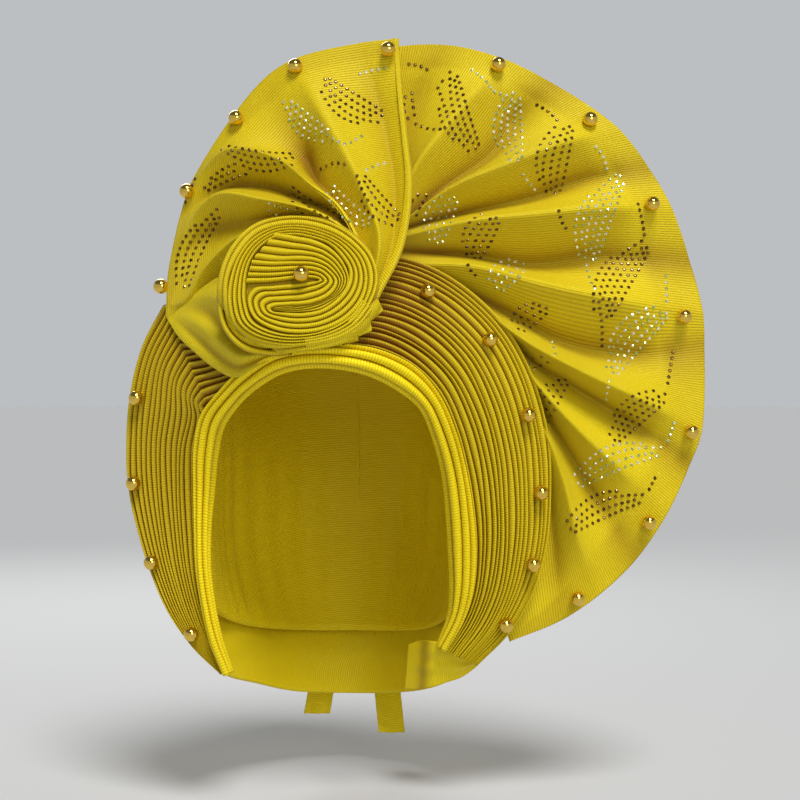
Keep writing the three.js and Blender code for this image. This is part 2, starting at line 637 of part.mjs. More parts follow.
// Crown cap: from its lower edge up to the top of the head, all the way round
function addCrownCap() {
  const wallAt = (inset) => capEdge().map((edge) => {
    const aside = edge.x - HEAD.slope * (edge.y - HEAD.slopeFrom);
    const angle = THREE.MathUtils.radToDeg(Math.atan2(aside, -edge.y));
    const onHead = headPoint(angle, edge.z, 0);
    const inwards = new THREE.Vector3(-aside, -edge.y, 0).normalize().multiplyScalar(inset);
    const shift = edge.clone().sub(onHead).add(inwards);
    return steps(CUTS.cap.rings).map((share) => {
      if (share === 1) return new THREE.Vector3(-HEAD.slope * HEAD.slopeFrom, 0, HEAD.top - inset);
      const z = mix(edge.z, HEAD.top - inset, Math.sin(share * Math.PI / 2) ** 1.2);
      const fade = (1 - share) ** 2;
      const point = headPoint(angle, z, -inset * (1 - fade));
      return point.addScaledVector(shift, fade);
    });
  });
  const outside = wallAt(0);
  addPiece('crown_cap', closedWall(outside, wallAt(CLOTH), true), YELLOW);
}

// Nape wrap: plain cloth from the lower right end round the nape to the left tip
function addNapeWrap() {
  const lower = smoothCurve(NAPE, 'lower');
  const rows = NAPE.map((row) => (
    row.upper ? row : { upper: headPoint(row.angle, row.height, CLOTH + GAP * 2).toArray() }));
  const upper = smoothCurve(rows, 'upper');
  const surfaceAt = (t, w) => lower.getPoint(t).lerp(upper.getPoint(t), w);
  const front = makeGrid(steps(CUTS.nape.along), steps(CUTS.nape.across), surfaceAt);
  const back = moveAlong(front, gridNormals(front, 1), () => -CLOTH);
  addPiece('nape_wrap', closedWall(front, back), YELLOW);
}

// Knot and tails of the tie behind the neck
function addTie() {
  const shape = new THREE.SphereGeometry(1, CUTS.knot.along, CUTS.knot.across);
  shape.scale(KNOT.halfWidth, KNOT.halfDepth, KNOT.halfHeight);
  const knot = addPiece('nape_knot', shape, YELLOW);
  knot.position.set(KNOT.x, KNOT.y, KNOT.z);
  for (const tail of TAILS) {
    const aside = tail.side === 'left' ? -KNOT.tailsApart / 2 : KNOT.tailsApart / 2;
    const start = new THREE.Vector3(KNOT.x + aside, KNOT.y, KNOT.z - KNOT.halfHeight - GAP);
    const end = vector(tail.end);
    const middle = start.clone().lerp(end, 0.5).add(vector(tail.bow));
    const path = new THREE.CatmullRomCurve3([start, middle, end]);
    const surfaceAt = (t, w) => {
      const width = mix(TAIL_NECK, TAIL_WIDTH, Math.min(1, t * 2));
      return path.getPoint(t).add(new THREE.Vector3((w - 0.5) * width, 0, 0));
    };
    const front = makeGrid(steps(CUTS.tail.along), steps(CUTS.tail.across), surfaceAt);
    const back = moveAlong(front, gridNormals(front, 1), () => CLOTH);
    addPiece(`tie_tail_${tail.side}`, closedWall(front, back), YELLOW);
  }
}

// The triangles of a piece, for seating beads on it
function trianglesOf(piece) {
  const position = piece.geometry.getAttribute('position');
  const corner = (i) => new THREE.Vector3().fromBufferAttribute(position, i);
  const ids = piece.geometry.getIndex().array;
  const triangles = [];
  for (let i = 0; i < ids.length; i += 3) {
    triangles.push(new THREE.Triangle(corner(ids[i]), corner(ids[i + 1]), corner(ids[i + 2])));
  }
  return triangles;
}

// How far back a bead's centre can sit before the bead comes within the gap of the cloth
function seatOn(piece, x, z) {
  const reach = BEAD_RADIUS + GAP;
  const near = trianglesOf(piece).filter((triangle) => {
    const box = new THREE.Box3().setFromPoints([triangle.a, triangle.b, triangle.c]);
    box.expandByScalar(reach);
    return x > box.min.x && x < box.max.x && z > box.min.z && z < box.max.z;
  });
  const closest = new THREE.Vector3();
  const clears = (y) => {
    const centre = new THREE.Vector3(x, y, z);
    return near.every((triangle) => triangle.closestPointToPoint(centre, closest).distanceTo(centre) > reach);
  };
  let y = BEAD_START_Y;
  for (const step of BEAD_STEPS) {
    while (y < 0 && clears(y + step)) y += step;
  }
  return y;
}

function addBeads() {
  for (const bead of BEADS) {
    const ball = new THREE.SphereGeometry(BEAD_RADIUS, CUTS.bead.along, CUTS.bead.across);
    const mesh = addPiece(`bead_${bead.name}`, ball, GOLD);
    mesh.position.set(bead.x, seatOn(gele.getObjectByName(bead.on), bead.x, bead.z), bead.z);
  }
}

addFrontRoll();
addLeftWing();
addRightBrim();
addFan();
addSwirlPanel();
addUnderSwathe();
addRosette();
addCrownCap();
addNapeWrap();
addTie();
addBeads();

export default gele;
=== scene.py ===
# %% [markdown]
# # A tied gele head tie
#
# A gele is a head tie: a wide, stiff cloth, pleated and folded. This one is tied ready to wear:
# pleats run round its opening, a folded fan stands up on the right, and a folded panel on the
# left winds into a pleated rosette. Gold beads and small stones are sewn and glued on.
#
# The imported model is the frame. Each cloth is built here again as a finer surface in the place of
# its plain solid. The tables are in millimetres unless a comment says otherwise.

import bmesh
import bpy
import numpy as np
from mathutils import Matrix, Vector
from mathutils.bvhtree import BVHTree


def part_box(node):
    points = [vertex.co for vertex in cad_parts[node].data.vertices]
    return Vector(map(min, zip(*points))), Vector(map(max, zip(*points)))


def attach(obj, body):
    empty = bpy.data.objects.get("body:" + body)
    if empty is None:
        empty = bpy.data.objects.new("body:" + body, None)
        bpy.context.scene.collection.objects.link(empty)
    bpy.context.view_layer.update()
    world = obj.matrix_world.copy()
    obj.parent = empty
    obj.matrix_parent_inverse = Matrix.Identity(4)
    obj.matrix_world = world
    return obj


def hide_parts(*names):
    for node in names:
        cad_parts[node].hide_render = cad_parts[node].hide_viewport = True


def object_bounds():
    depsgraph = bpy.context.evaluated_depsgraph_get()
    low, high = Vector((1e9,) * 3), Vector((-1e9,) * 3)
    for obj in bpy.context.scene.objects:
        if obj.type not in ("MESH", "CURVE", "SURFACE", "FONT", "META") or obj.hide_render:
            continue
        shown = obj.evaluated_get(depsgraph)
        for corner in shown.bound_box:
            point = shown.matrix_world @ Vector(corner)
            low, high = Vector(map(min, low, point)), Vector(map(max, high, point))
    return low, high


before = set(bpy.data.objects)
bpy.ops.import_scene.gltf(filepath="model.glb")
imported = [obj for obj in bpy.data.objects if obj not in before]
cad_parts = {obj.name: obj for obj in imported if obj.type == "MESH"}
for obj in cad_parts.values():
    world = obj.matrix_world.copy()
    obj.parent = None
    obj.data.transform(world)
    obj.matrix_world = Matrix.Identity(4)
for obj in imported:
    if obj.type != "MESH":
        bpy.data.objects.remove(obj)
cad_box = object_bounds()
MM = 0.001
print("nodes in the frame:", len(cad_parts))

# %% [markdown]
# The camera comes first. It stands about where the photograph was taken from: level with the
# middle of the head tie, a little to the right of the middle of its opening, and 0.95 m in front
# of the origin.

# %% Camera
camera_data = bpy.data.cameras.new("camera")
camera_data.sensor_width = 36
camera_data.lens = 76
camera = bpy.data.objects.new("camera", camera_data)
camera.location = (0.0389, -0.950, 0.016)
camera.rotation_euler = (np.pi / 2, 0, 0)
bpy.context.collection.objects.link(camera)
bpy.context.scene.camera = camera
print("camera at", tuple(camera.location))

# %% [markdown]
# The cloth is saturated yellow, and a filmic curve would bleach it, so the plain view transform
# is used. The main light is a soft sun, high in front and a little to the right, so that folds
# that face up are bright and folds that face down fall into shade. A small lamp in front gives
# beads and stones a highlight, and a larger one lights the back. The sky is pale at the horizon
# and darker above and below.

# %% Lights and floor
bpy.context.scene.view_settings.view_transform = "Standard"

SUN_FROM = Vector((0.22, -0.72, 1.05))
sun_data = bpy.data.lights.new("soft_sun", "SUN")
sun_data.energy = 2.7
sun_data.angle = np.radians(22)
sun = bpy.data.objects.new("soft_sun", sun_data)
sun.location = SUN_FROM
sun.rotation_euler = SUN_FROM.to_track_quat("Z", "Y").to_euler()
bpy.context.collection.objects.link(sun)

LAMP_AIM = Vector((0.0, -0.05, 0.05))


def add_soft_box(name, place, size, power):
    """A square lamp of that size in metres, turned towards the head tie."""
    data = bpy.data.lights.new(name, "AREA")
    data.shape = "SQUARE"
    data.size = size
    data.energy = power
    lamp = bpy.data.objects.new(name, data)
    lamp.location = place
    lamp.rotation_euler = (lamp.location - LAMP_AIM).to_track_quat("Z", "Y").to_euler()
    bpy.context.collection.objects.link(lamp)


add_soft_box("front_box", (0.35, -0.85, 0.25), 0.35, 1.5)
add_soft_box("back_box", (-0.30, 1.10, 0.80), 0.60, 6.0)

world = bpy.data.worlds.new("studio")
world.use_nodes = True
sky = world.node_tree.nodes
way = sky.new("ShaderNodeTexCoord")
split_way = sky.new("ShaderNodeSeparateXYZ")
steepness = sky.new("ShaderNodeMath")
steepness.operation = "ABSOLUTE"
fade = sky.new("ShaderNodeMapRange")
fade.interpolation_type = "SMOOTHSTEP"
for socket, value in (("From Min", 0.25), ("From Max", 0.6), ("To Min", 0.54), ("To Max", 0.15)):
    fade.inputs[socket].default_value = value
for source, target in (
    (way.outputs["Generated"], split_way.inputs[0]), (split_way.outputs["Z"], steepness.inputs[0]),
    (steepness.outputs[0], fade.inputs["Value"]),
    (fade.outputs["Result"], sky["Background"].inputs["Strength"]),
):
    world.node_tree.links.new(source, target)
sky["Background"].inputs["Color"].default_value = (0.93, 0.96, 1.0, 1)
bpy.context.scene.world = world

FLOOR_DROP = 0.02
bpy.ops.mesh.primitive_circle_add(vertices=64, radius=60, fill_type="NGON")
floor = bpy.context.object
floor.name = "floor"
floor.location = (0, 0, cad_box[0][2] - FLOOR_DROP)
floor_look = bpy.data.materials.new("pale_floor")
floor_look.use_nodes = True
floor_shader = floor_look.node_tree.nodes["Principled BSDF"]
floor_shader.inputs["Base Color"].default_value = (0.55, 0.55, 0.55, 1)
floor_shader.inputs["Roughness"].default_value = 0.9
floor.data.materials.append(floor_look)
print("floor at", round(floor.location.z, 3))

# %% [markdown]
# Materials are node trees. A short helper links nodes, so that each finish can be read as a list
# of steps.


# %% Node helper
class Finish:
    """A material whose nodes are added one by one."""

    def __init__(self, name):
        self.material = bpy.data.materials.new(name)
        self.material.use_nodes = True
        self.nodes = self.material.node_tree.nodes
        self.shader = self.nodes["Principled BSDF"]

    def add(self, kind, **settings):
        """A new node of that kind. A setting is an input's value or source, or a property."""
        node = self.nodes.new(kind)
        for key, value in settings.items():
            if key.startswith("in_"):
                self.feed(node, int(key[3:]), value)
            else:
                setattr(node, key, value)
        return node

    def feed(self, node, socket, value):
        """Sets a socket, or links it when the value is another node or one of its outputs."""
        if isinstance(value, bpy.types.Node):
            value = value.outputs[0]
        if isinstance(value, bpy.types.NodeSocket):
            self.material.node_tree.links.new(value, node.inputs[socket])
        else:
            node.inputs[socket].default_value = value

    def math(self, operation, first, second=0.0):
        """One step of arithmetic."""
        return self.add("ShaderNodeMath", operation=operation, in_0=first, in_1=second)

    def noise(self, place, scale, detail=2.0):
        """Soft noise, from 0 to 1, with that many lumps in a metre or UV unit."""
        node = self.add("ShaderNodeTexNoise")
        self.feed(node, "Vector", place)
        self.feed(node, "Scale", scale)
        self.feed(node, "Detail", detail)
        return node.outputs["Fac"]

    def blend(self, share, first, second):
        """A colour that goes from the first to the second with share."""
        node = self.add("ShaderNodeMix", data_type="RGBA")
        self.feed(node, 0, share)
        self.feed(node, 6, first)
        self.feed(node, 7, second)
        return node.outputs[2]


# %% [markdown]
# The cloth is woven with raised cross ribs, so each pleat looks like a ribbed cord. The ribs are
# too fine to model, and a flat picture of them would blur, so they are a wave along the cloth's
# own UV map, which holds real millimetres. The wave is both a bump and painted shade in the grooves.
# A finer noise paints glints of shiny threads into the colour as light specks, and a coarse one
# makes the colour uneven. The mesh's crease attribute paints shade, in brown, into the bottoms of
# folds. The back of the cloth is ribbed too, but gets no painted shade in its folds.


# %% Cloth finish
PAINTED_GROOVE_SHADE = (0.36, 0.17, 0.001, 1)
PAINTED_FOLD_SHADE = (0.19, 0.065, 0.001, 1)
PAINTED_THREAD_GLINT = (1.0, 0.86, 0.10, 1)
WAVER_LUMPS, PATCH_LUMPS, SPECK_LUMPS, THREAD_LUMPS = 60, 22, 1500, 2600     # in a metre
RIB_WAVER = 0.35          # how far a rib strays from its line, in millimetres
SPECK_LIMIT = 0.66        # a thread shines where the noise is above this


def ribbed_cloth(name, rib_pitch, rib_depth, painted_groove_shade, painted_glint, painted_light_factor=1.0, painted_fold_shade_share=1.0):
    """Yellow satin with a rib every rib_pitch millimetres along u. painted_groove_shade is how far
    painted shade turns the grooves brown, glitter how strongly glints of the scattered threads are
    painted into the colour, bright a factor that paints the yellow lighter or darker in place of the
    light each piece gets, and creased how much of the painted shade in the folds is shown."""
    cloth = Finish(name)
    uv = cloth.add("ShaderNodeUVMap", uv_map="cloth")
    split = cloth.add("ShaderNodeSeparateXYZ", in_0=uv)
    body = cloth.add("ShaderNodeTexCoord").outputs["Object"]
    waver = cloth.noise(body, WAVER_LUMPS)
    along = cloth.math("ADD", split.outputs[0], cloth.math("MULTIPLY", waver, RIB_WAVER))
    wave = cloth.math("SINE", cloth.math("MULTIPLY", along, 2 * np.pi / rib_pitch))
    rib = cloth.math("ADD", cloth.math("MULTIPLY", wave, 0.5), 0.5)
    rounded = cloth.math("POWER", rib, 0.42)
    thread = cloth.noise(body, THREAD_LUMPS, 1)
    patch = cloth.noise(body, PATCH_LUMPS, 2)
    warm_yellow = (0.78 * painted_light_factor, 0.59 * painted_light_factor, 0.004, 1)
    lemon_yellow = (0.84 * painted_light_factor, 0.68 * painted_light_factor, 0.008, 1)
    light = cloth.blend(patch, warm_yellow, lemon_yellow)
    # Painted shade in the rib grooves: between the ribs the colour goes towards brown.
    painted_groove_mask = cloth.math("MULTIPLY", cloth.math("SUBTRACT", 1.0, rounded), painted_groove_shade)
    ribbed = cloth.blend(painted_groove_mask, light, PAINTED_GROOVE_SHADE)
    # Painted shade in the folds: the mesh's crease attribute blends the colour towards dark brown.
    fold = cloth.add("ShaderNodeAttribute", attribute_name="crease").outputs["Fac"]
    crease = cloth.math("MULTIPLY", fold, painted_fold_shade_share)
    # Painted glint: where the noise is above the speck limit, the colour turns light yellow, standing in
    # for the sparkle of shiny threads.
    painted_glint_specks = cloth.math("GREATER_THAN", cloth.noise(body, SPECK_LUMPS, 1), SPECK_LIMIT)
    glint_painted_colour = cloth.blend(cloth.math("MULTIPLY", painted_glint_specks, painted_glint), ribbed, PAINTED_THREAD_GLINT)
    colour = cloth.blend(crease, glint_painted_colour, PAINTED_FOLD_SHADE)
    cloth.feed(cloth.shader, "Base Color", colour)
    rough = cloth.math("SUBTRACT", 0.78, cloth.math("MULTIPLY", thread, 0.55))
    cloth.feed(cloth.shader, "Roughness", rough)
    cloth.shader.inputs["Specular IOR Level"].default_value = 0.5
    cloth.shader.inputs["Specular Tint"].default_value = (1.0, 0.86, 0.30, 1)
    cloth.shader.inputs["Sheen Weight"].default_value = 0.08
    cloth.shader.inputs["Sheen Roughness"].default_value = 0.4
    cloth.shader.inputs["Sheen Tint"].default_value = (1.0, 0.85, 0.2, 1)
    height = cloth.math("ADD", rounded, cloth.math("MULTIPLY", thread, 0.35))
    bump = cloth.add("ShaderNodeBump")
    cloth.feed(bump, "Height", height)
    bump.inputs["Distance"].default_value = rib_depth * MM
    bump.inputs["Strength"].default_value = 1.0
    cloth.feed(cloth.shader, "Normal", bump)
    return cloth.material


# The pieces share one yellow, painted lighter or darker by a factor in place of the light each gets: the
# roll, which faces down, lighter, and the pleats darker for the shade between them.
pleat_cloth = ribbed_cloth("pleat_cloth", 1.35, 0.16, 0.54, 0.1, painted_light_factor=0.9)
roll_cloth = ribbed_cloth("roll_cloth", 1.6, 0.16, 0.42, 0.1, painted_light_factor=1.18)
rosette_cloth = ribbed_cloth("rosette_cloth", 1.1, 0.18, 0.52, 0.15, painted_light_factor=0.91)
fan_cloth = ribbed_cloth("fan_cloth", 1.45, 0.20, 0.52, 0.4, painted_light_factor=0.9)
plain_cloth = ribbed_cloth("plain_cloth", 1.2, 0.14, 0.36, 0.1)
back_cloth = ribbed_cloth("cloth_back", 1.4, 0.16, 0.4, 0.1, painted_fold_shade_share=0.0)
print("cloth finishes:", [m.name for m in bpy.data.materials if "cloth" in m.name])

# %% [markdown]
# Every cloth is a surface on a grid: a function gives a point for each place along and across.
# These helpers draw smooth curves, and smooth and measure grids. No loop runs over vertices: numpy
# works out whole arrays at once.


# %% Curves and grids
def curve(points, t):
    """Centripetal Catmull-Rom curve through the points, at t from 0 to 1, an equal share of t for
    each stretch. Each stretch is a cubic whose slopes come from its neighbours, weighed by the
    square roots of the chords."""
    p = np.asarray(points, float)
    p = np.vstack([2 * p[0] - p[1], p, 2 * p[-1] - p[-2]])
    place = np.clip(t, 0, 1) * (len(p) - 3)
    i = np.minimum(place.astype(int), len(p) - 4)
    x = (place - i)[..., None]
    a, b, c, d = p[i], p[i + 1], p[i + 2], p[i + 3]

    def root(chord):
        return np.sqrt(np.linalg.norm(chord, axis=-1, keepdims=True)) + 1e-6

    before, here, after = root(b - a), root(c - b), root(d - c)
    leave = ((b - a) / before - (c - a) / (before + here) + (c - b) / here) * here
    arrive = ((c - b) / here - (d - b) / (here + after) + (d - c) / after) * here
    bend = 3 * (c - b) - 2 * leave - arrive
    return b + leave * x + bend * x**2 + (2 * (b - c) + leave + arrive) * x**3


def mix(a, b, share):
    """From a to b, by share."""
    return a + (b - a) * share


def smooth(x, low, high):
    """0 below low, 1 above high, and an even S between them."""
    s = np.clip((x - low) / (high - low), 0, 1)
    return s * s * (3 - 2 * s)


def unit(vectors):
    """The same directions, with length 1."""
    return vectors / (np.linalg.norm(vectors, axis=-1, keepdims=True) + 1e-12)


def outward(points, front):
    """The unit normal at each point of a grid: the cross product of the steps along and across,
    turned to the side that front points to on the whole."""
    normal = unit(np.cross(np.gradient(points, axis=0), np.gradient(points, axis=1)))
    return normal * np.sign(np.sum(normal * front))


def length_along(points, axis=0):
    """How far each point is from the first one, measured along the grid's lines."""
    steps = np.linalg.norm(np.diff(points, axis=axis), axis=-1)
    start = np.zeros_like(np.take(steps, [0], axis=axis))
    return np.concatenate([start, np.cumsum(steps, axis=axis)], axis=axis)


def soften(points, passes, axis=0):
    """Each point moves to the mean of itself and its two neighbours, passes times. The ends stay."""
    p = np.moveaxis(points, axis, 0).copy()
    for _ in range(passes):
        p[1:-1] = (p[:-2] + 2 * p[1:-1] + p[2:]) / 4
    return np.moveaxis(p, 0, axis)


def wander(rng, t, lines, waves=4):
    """A slow random wave for each line, between about -1 and 1: a sum of sines with random phases."""
    total = np.zeros((len(t), lines))
    for k in range(1, waves + 1):
        phase = rng.uniform(0, 2 * np.pi, lines)
        rate = rng.uniform(0.6, 1.4, lines) * k
        total += np.sin(2 * np.pi * rate * t[:, None] + phase) / k
    return total / 2


FRONT = np.array([0.0, -1.0, 0.0])
print("the front of the head tie looks along", FRONT)

# %% [markdown]
# A grid becomes a mesh in one step: foreach_set writes whole arrays. Thin cloth gets its thickness
# from a Solidify modifier, which is simpler than a second grid. How deep a point lies in a fold is
# found by comparing the cloth with a smoothed copy of itself, and sets how much painted shade it gets.


# %% Surface maker
def add_surface(name, points, u, v, material, front=FRONT, wall=0.0, crease=None, weld=False):
    """A mesh from a grid of points in millimetres, with a four-sided face between each two rows
    and two columns. u holds how far along the cloth each face's left and right corners are, and v
    how far across each point is, in millimetres. Its faces point to the side of front. wall is
    the cloth's thickness, crease is the painted shade, 1 deep in a fold, and weld joins the
    points that meet at a seam or a pole."""
    rows, columns = points.shape[:2]
    index = np.arange(rows * columns).reshape(rows, columns)
    corners = [index[:-1, :-1], index[:-1, 1:], index[1:, 1:], index[1:, :-1]]
    corner_u = [u[:-1, :, 0], u[:-1, :, 1], u[1:, :, 1], u[1:, :, 0]]
    corner_v = [v[:-1, :-1], v[:-1, 1:], v[1:, 1:], v[1:, :-1]]
    normal = np.cross(np.gradient(points, axis=0), np.gradient(points, axis=1))
    if np.sum(normal * front) > 0:
        corners, corner_u, corner_v = corners[::-1], corner_u[::-1], corner_v[::-1]
    faces = np.stack(corners, axis=-1).reshape(-1, 4)
    uv = np.stack([np.stack(corner_u, axis=-1), np.stack(corner_v, axis=-1)], axis=-1)
    depth = np.zeros((rows, columns)) if crease is None else crease + np.zeros((rows, columns))
    return add_mesh(name, points.reshape(-1, 3), faces, material, uv.reshape(-1, 2), wall, depth, weld)


def add_mesh(name, points, faces, material, uv=None, wall=0.0, crease=None, weld=False, flat=False):
    """A mesh object from points in millimetres and faces that all have as many corners. With a
    wall the mesh is the outer side, and the inner side that Solidify adds has the back finish."""
    mesh = bpy.data.meshes.new(name)
    mesh.vertices.add(len(points))
    mesh.vertices.foreach_set("co", (points * MM).astype(np.float32).ravel())
    mesh.loops.add(faces.size)
    mesh.loops.foreach_set("vertex_index", faces.astype(np.int32).ravel())
    mesh.polygons.add(len(faces))
    starts = np.arange(len(faces), dtype=np.int32) * faces.shape[1]
    mesh.polygons.foreach_set("loop_start", starts)
    mesh.update(calc_edges=True)
    mesh.polygons.foreach_set("use_smooth", np.full(len(faces), not flat))
    if uv is not None:
        mesh.uv_layers.new(name="cloth").data.foreach_set("uv", uv.astype(np.float32).ravel())
    # The crease attribute holds painted shade, which the cloth finish reads.
    if crease is not None:
        layer = mesh.attributes.new("crease", "FLOAT", "POINT")
        layer.data.foreach_set("value", np.clip(crease, 0, 1).astype(np.float32).ravel())
    if weld:
        work = bmesh.new()
        work.from_mesh(mesh)
        bmesh.ops.remove_doubles(work, verts=work.verts, dist=1e-6)
        work.to_mesh(mesh)
        work.free()
    mesh.materials.append(material)
    mesh.update()
    piece = bpy.data.objects.new(name, mesh)
    bpy.context.collection.objects.link(piece)
    if wall:
        mesh.materials.append(back_cloth)
        thicken = piece.modifiers.new("wall", "SOLIDIFY")
        thicken.thickness = wall * MM
        thicken.offset = -1
        thicken.material_offset = 1
    print(name, "has", len(mesh.polygons), "faces")
    return piece


def hollows(points, passes, depth, axis=1, front=FRONT):
    """How deep each point lies below its smoothed neighbourhood, as a share of depth: 0 on open
    cloth, 1 in the bottom of a fold."""
    even = soften(points, passes, axis)
    return np.clip(np.sum((even - points) * outward(even, front), axis=-1) / depth, 0, 1)


def plain_uv(along, across):
    """The u and v of a sheet whose ribs cross the direction of along."""
    return np.stack([along[:, :-1], along[:, 1:]], axis=-1), across


def finish_cloth(piece, flat, held, rests_on, *nodes, area=None):
    """A cloth rides on the root and stands for its plain solids, which are hidden. flat, the
    size in metres of the sheet it was cut from, is not used."""
    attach(piece, "root")
    if nodes:
        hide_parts(*nodes)


# %% [markdown]
# A pleat is cloth folded up and back again. Seen across, it is a round crest between two narrow
# creases. A cloth simulation would open pleats that are pressed by hand, and a bump would leave
# the outline flat, so they are real shapes. The height is a power of a sine: a low power gives a
# broad crest and a deep narrow crease. Real pleats are never quite even, so their edges and
# heights stray slowly along the way.


# %% Pleats
def add_pleats(name, base, along, pleats, depth, seed, material, samples=10, proud=0.7,
               stray=0.16, power=0.5, lean=0.12, widths=1.0, depths=1.0, wall=0.8, loose=None,
               dark=1.15, narrow=1.3, shade=0.0):
    """Pleated cloth on base, a function of places along and across. Each pleat rises from its
    creases to its crest by depth, times a power of a sine, in as many steps as samples; its crest
    leans by lean and stands above base by proud. Its edges stray by a slow random wave. widths
    and depths scale single pleats, and loose scales all of them along the way. dark is how much
    painted shade lies in the creases, narrow how quickly it fades from them, and shade how much
    painted shade lies on all of the cloth; the last two are one number, or one for each place along."""
    rng = np.random.default_rng(seed)
    widths = np.ones(pleats) * widths
    even = np.concatenate([[0], np.cumsum(widths)]) / widths.sum()
    edges = even + stray / pleats * wander(rng, along, pleats + 1)
    edges[:, 0] = 0
    edges[:, -1] = 1
    phase = (1 - np.cos(np.pi * np.arange(samples) / samples)) / 2
    pleat = np.append(np.repeat(np.arange(pleats), samples), pleats - 1)
    inside = np.append(np.tile(phase, pleats), 1.0)
    crest = np.abs(np.sin(np.pi * inside)) ** power
    leaned = inside + lean * np.sin(np.pi * inside) ** 2
    across = edges[:, pleat] + (edges[:, pleat + 1] - edges[:, pleat]) * leaned
    flat = base(along[:, None] + 0 * across, across)
    tall = (1 + 0.25 * wander(rng, along, pleats)) * depths
    tall = tall * (1 if loose is None else loose(along)[:, None])
    height = depth * tall[:, pleat] * (crest - 1) + proud
    points = flat + outward(flat, FRONT) * height[..., None]
    crest_line = flat[:, np.arange(pleats) * samples + samples // 2]
    u = length_along(crest_line) + rng.uniform(0, 3, pleats)
    u = u[:, pleat[:-1]]
    # Painted shade: some on all of the cloth, and more in the creases between pleats.
    deep = shade + dark * (1 - crest) ** (narrow + 0 * along[:, None]) + 0 * height
    return add_surface(name, points, np.stack([u, u], axis=-1), length_along(points, 1), material,
                       FRONT, wall, deep)


# %% [markdown]
# The band round the opening is one strip of pleats. Its inner pleats run from the left tip over
# the top to the right end, and form a thick roll. The outer ones run beside the opening on the
# left, and from under the rosette down the right side. All of them lie between a few lines: the
# rim of the opening, the seam beside the roll, and the band's outer edge on either side. The
# roll, the wing and the brim share these lines, so that no gap opens between them.

# %% The band's lines
BAND_RIM = np.array([
    (-53, -41, -131), (-58.5, -44, -113), (-62, -46, -96), (-64.5, -48, -75.5), (-64.5, -49, -54),
    (-62.5, -51, -33), (-60, -56.5, -14), (-56, -63, 2), (-48, -70, 13.5), (-37.5, -78, 23),
    (-22.5, -86, 31.5), (-7, -91, 34.5), (11, -92, 33.5), (26, -89, 29.5), (40, -84, 22),
    (51, -77, 12.5), (58, -68, -3.5), (63, -59, -22), (65.5, -52, -42.5), (67, -45, -64.5),
    (68, -38, -86.5), (67, -32, -101.5), (61, -25, -119),
])
BAND_SEAM = np.array([
    (-54.5, -41, -131.5), (-61.5, -43.5, -114), (-65.5, -45.5, -96.5), (-68.5, -47.5, -75.5),
    (-69.5, -48.5, -53.5), (-70, -50, -30), (-69.5, -54, -10), (-65, -61.5, 8), (-54.5, -70, 20.5),
    (-42, -79, 32), (-26.5, -88, 41.5), (-9, -92, 44), (13, -92, 43.5), (30, -89, 40.5),
    (46, -83, 32.5), (58, -76, 19), (67, -67, 0), (73, -58, -20.5), (77, -51, -41.5),
    (79, -44, -64.5), (77.5, -37, -88), (72.5, -31, -103.5), (62.5, -24.5, -121),
])
LEFT_EDGE = np.array([
    (-57.5, -41, -131), (-73, -40, -117), (-86.5, -38, -98.5), (-97, -36, -75), (-104, -34, -53.5),
    (-109, -33, -29.5), (-110, -33, -5.5), (-108, -34, 18.5),
])
RIGHT_EDGE = np.array([
    (-13, -64, 88), (10, -62, 90.5), (37, -58, 92.5), (64, -53, 83), (92.5, -46, 60),
    (109, -41, 33), (119, -36, -2), (121, -33, -33), (119, -31, -63), (112, -28, -88.5),
    (100, -24, -110.5), (81.5, -20, -130),
])
RIGHT_SEAM, RIGHT_RIM = BAND_SEAM[11:], BAND_RIM[11:]
LEFT_SEAM, LEFT_RIM = BAND_SEAM[:8], BAND_RIM[:8]
print("the band's rim is", round(float(length_along(BAND_RIM)[-1])), "mm long")

# %% [markdown]
# The front roll: four fat pleats round the opening. Its inner edge turns back towards the cap, so
# the first share of the cloth goes backwards instead of sideways. A tube bent along the rim would
# be simpler, but it would lack the creases between the pleats.

# %% Front roll
TURN_UNDER = 7.0
ROLL_SHARE = 0.25
ROLL_BULGE = 2.8


def roll_base(t, w):
    """Between the rim and the seam, bulging forward by a sine; the first share of w turns back."""
    inner = curve(BAND_RIM, t)
    outer = curve(BAND_SEAM, t)
    wide = np.linalg.norm(outer - inner, axis=-1, keepdims=True)
    share = ((w - ROLL_SHARE) / (1 - ROLL_SHARE))[..., None]
    share = np.clip(share, 0, 1)
    bulged = mix(inner, outer, share) + FRONT * ROLL_BULGE * np.sin(np.pi * share)
    back = np.clip(1 - w / ROLL_SHARE, 0, 1)[..., None]
    turned = np.sin(back * np.pi / 2) * TURN_UNDER * np.minimum(1, wide / 8)
    inward = unit(inner - outer) * 0.3 * np.sin(np.pi * back)
    return bulged - FRONT * turned + inward


def roll_loose(t):
    """The pleats are thin at the left tip, and thinner again towards the right end."""
    thick = smooth(t, 0.0, 0.12) * (1 - 0.75 * smooth(t, 0.88, 1.0))
    return 0.25 + 0.75 * thick


along = np.linspace(0, 1, 300)
# The roll gets painted shade in its creases, less and narrower than the other pleats.
roll = add_pleats("front_roll_pleats", roll_base, along, 4, 3.6, 3, roll_cloth, samples=12,
                  proud=2.2, stray=0.22, power=0.62, lean=0.05, widths=[1.0, 1.25, 1.25, 0.5],
                  depths=[0.7, 1.1, 1.15, 0.8], loose=roll_loose, dark=0.7, narrow=1.9)
finish_cloth(roll, (0.030, 0.42), "folded", ["crown_cap"], "front_roll")

# %% [markdown]
# The right brim: eighteen narrow pleats from under the rosette down to the lower right end. The
# outermost ones are narrower and stand up more, with deeper creases between them. Painted shade
# lies on the cloth at the top, where the pleats come out from under the rosette.

# %% Right brim
BRIM_BULGE = 3.0
TUCK = 2.5


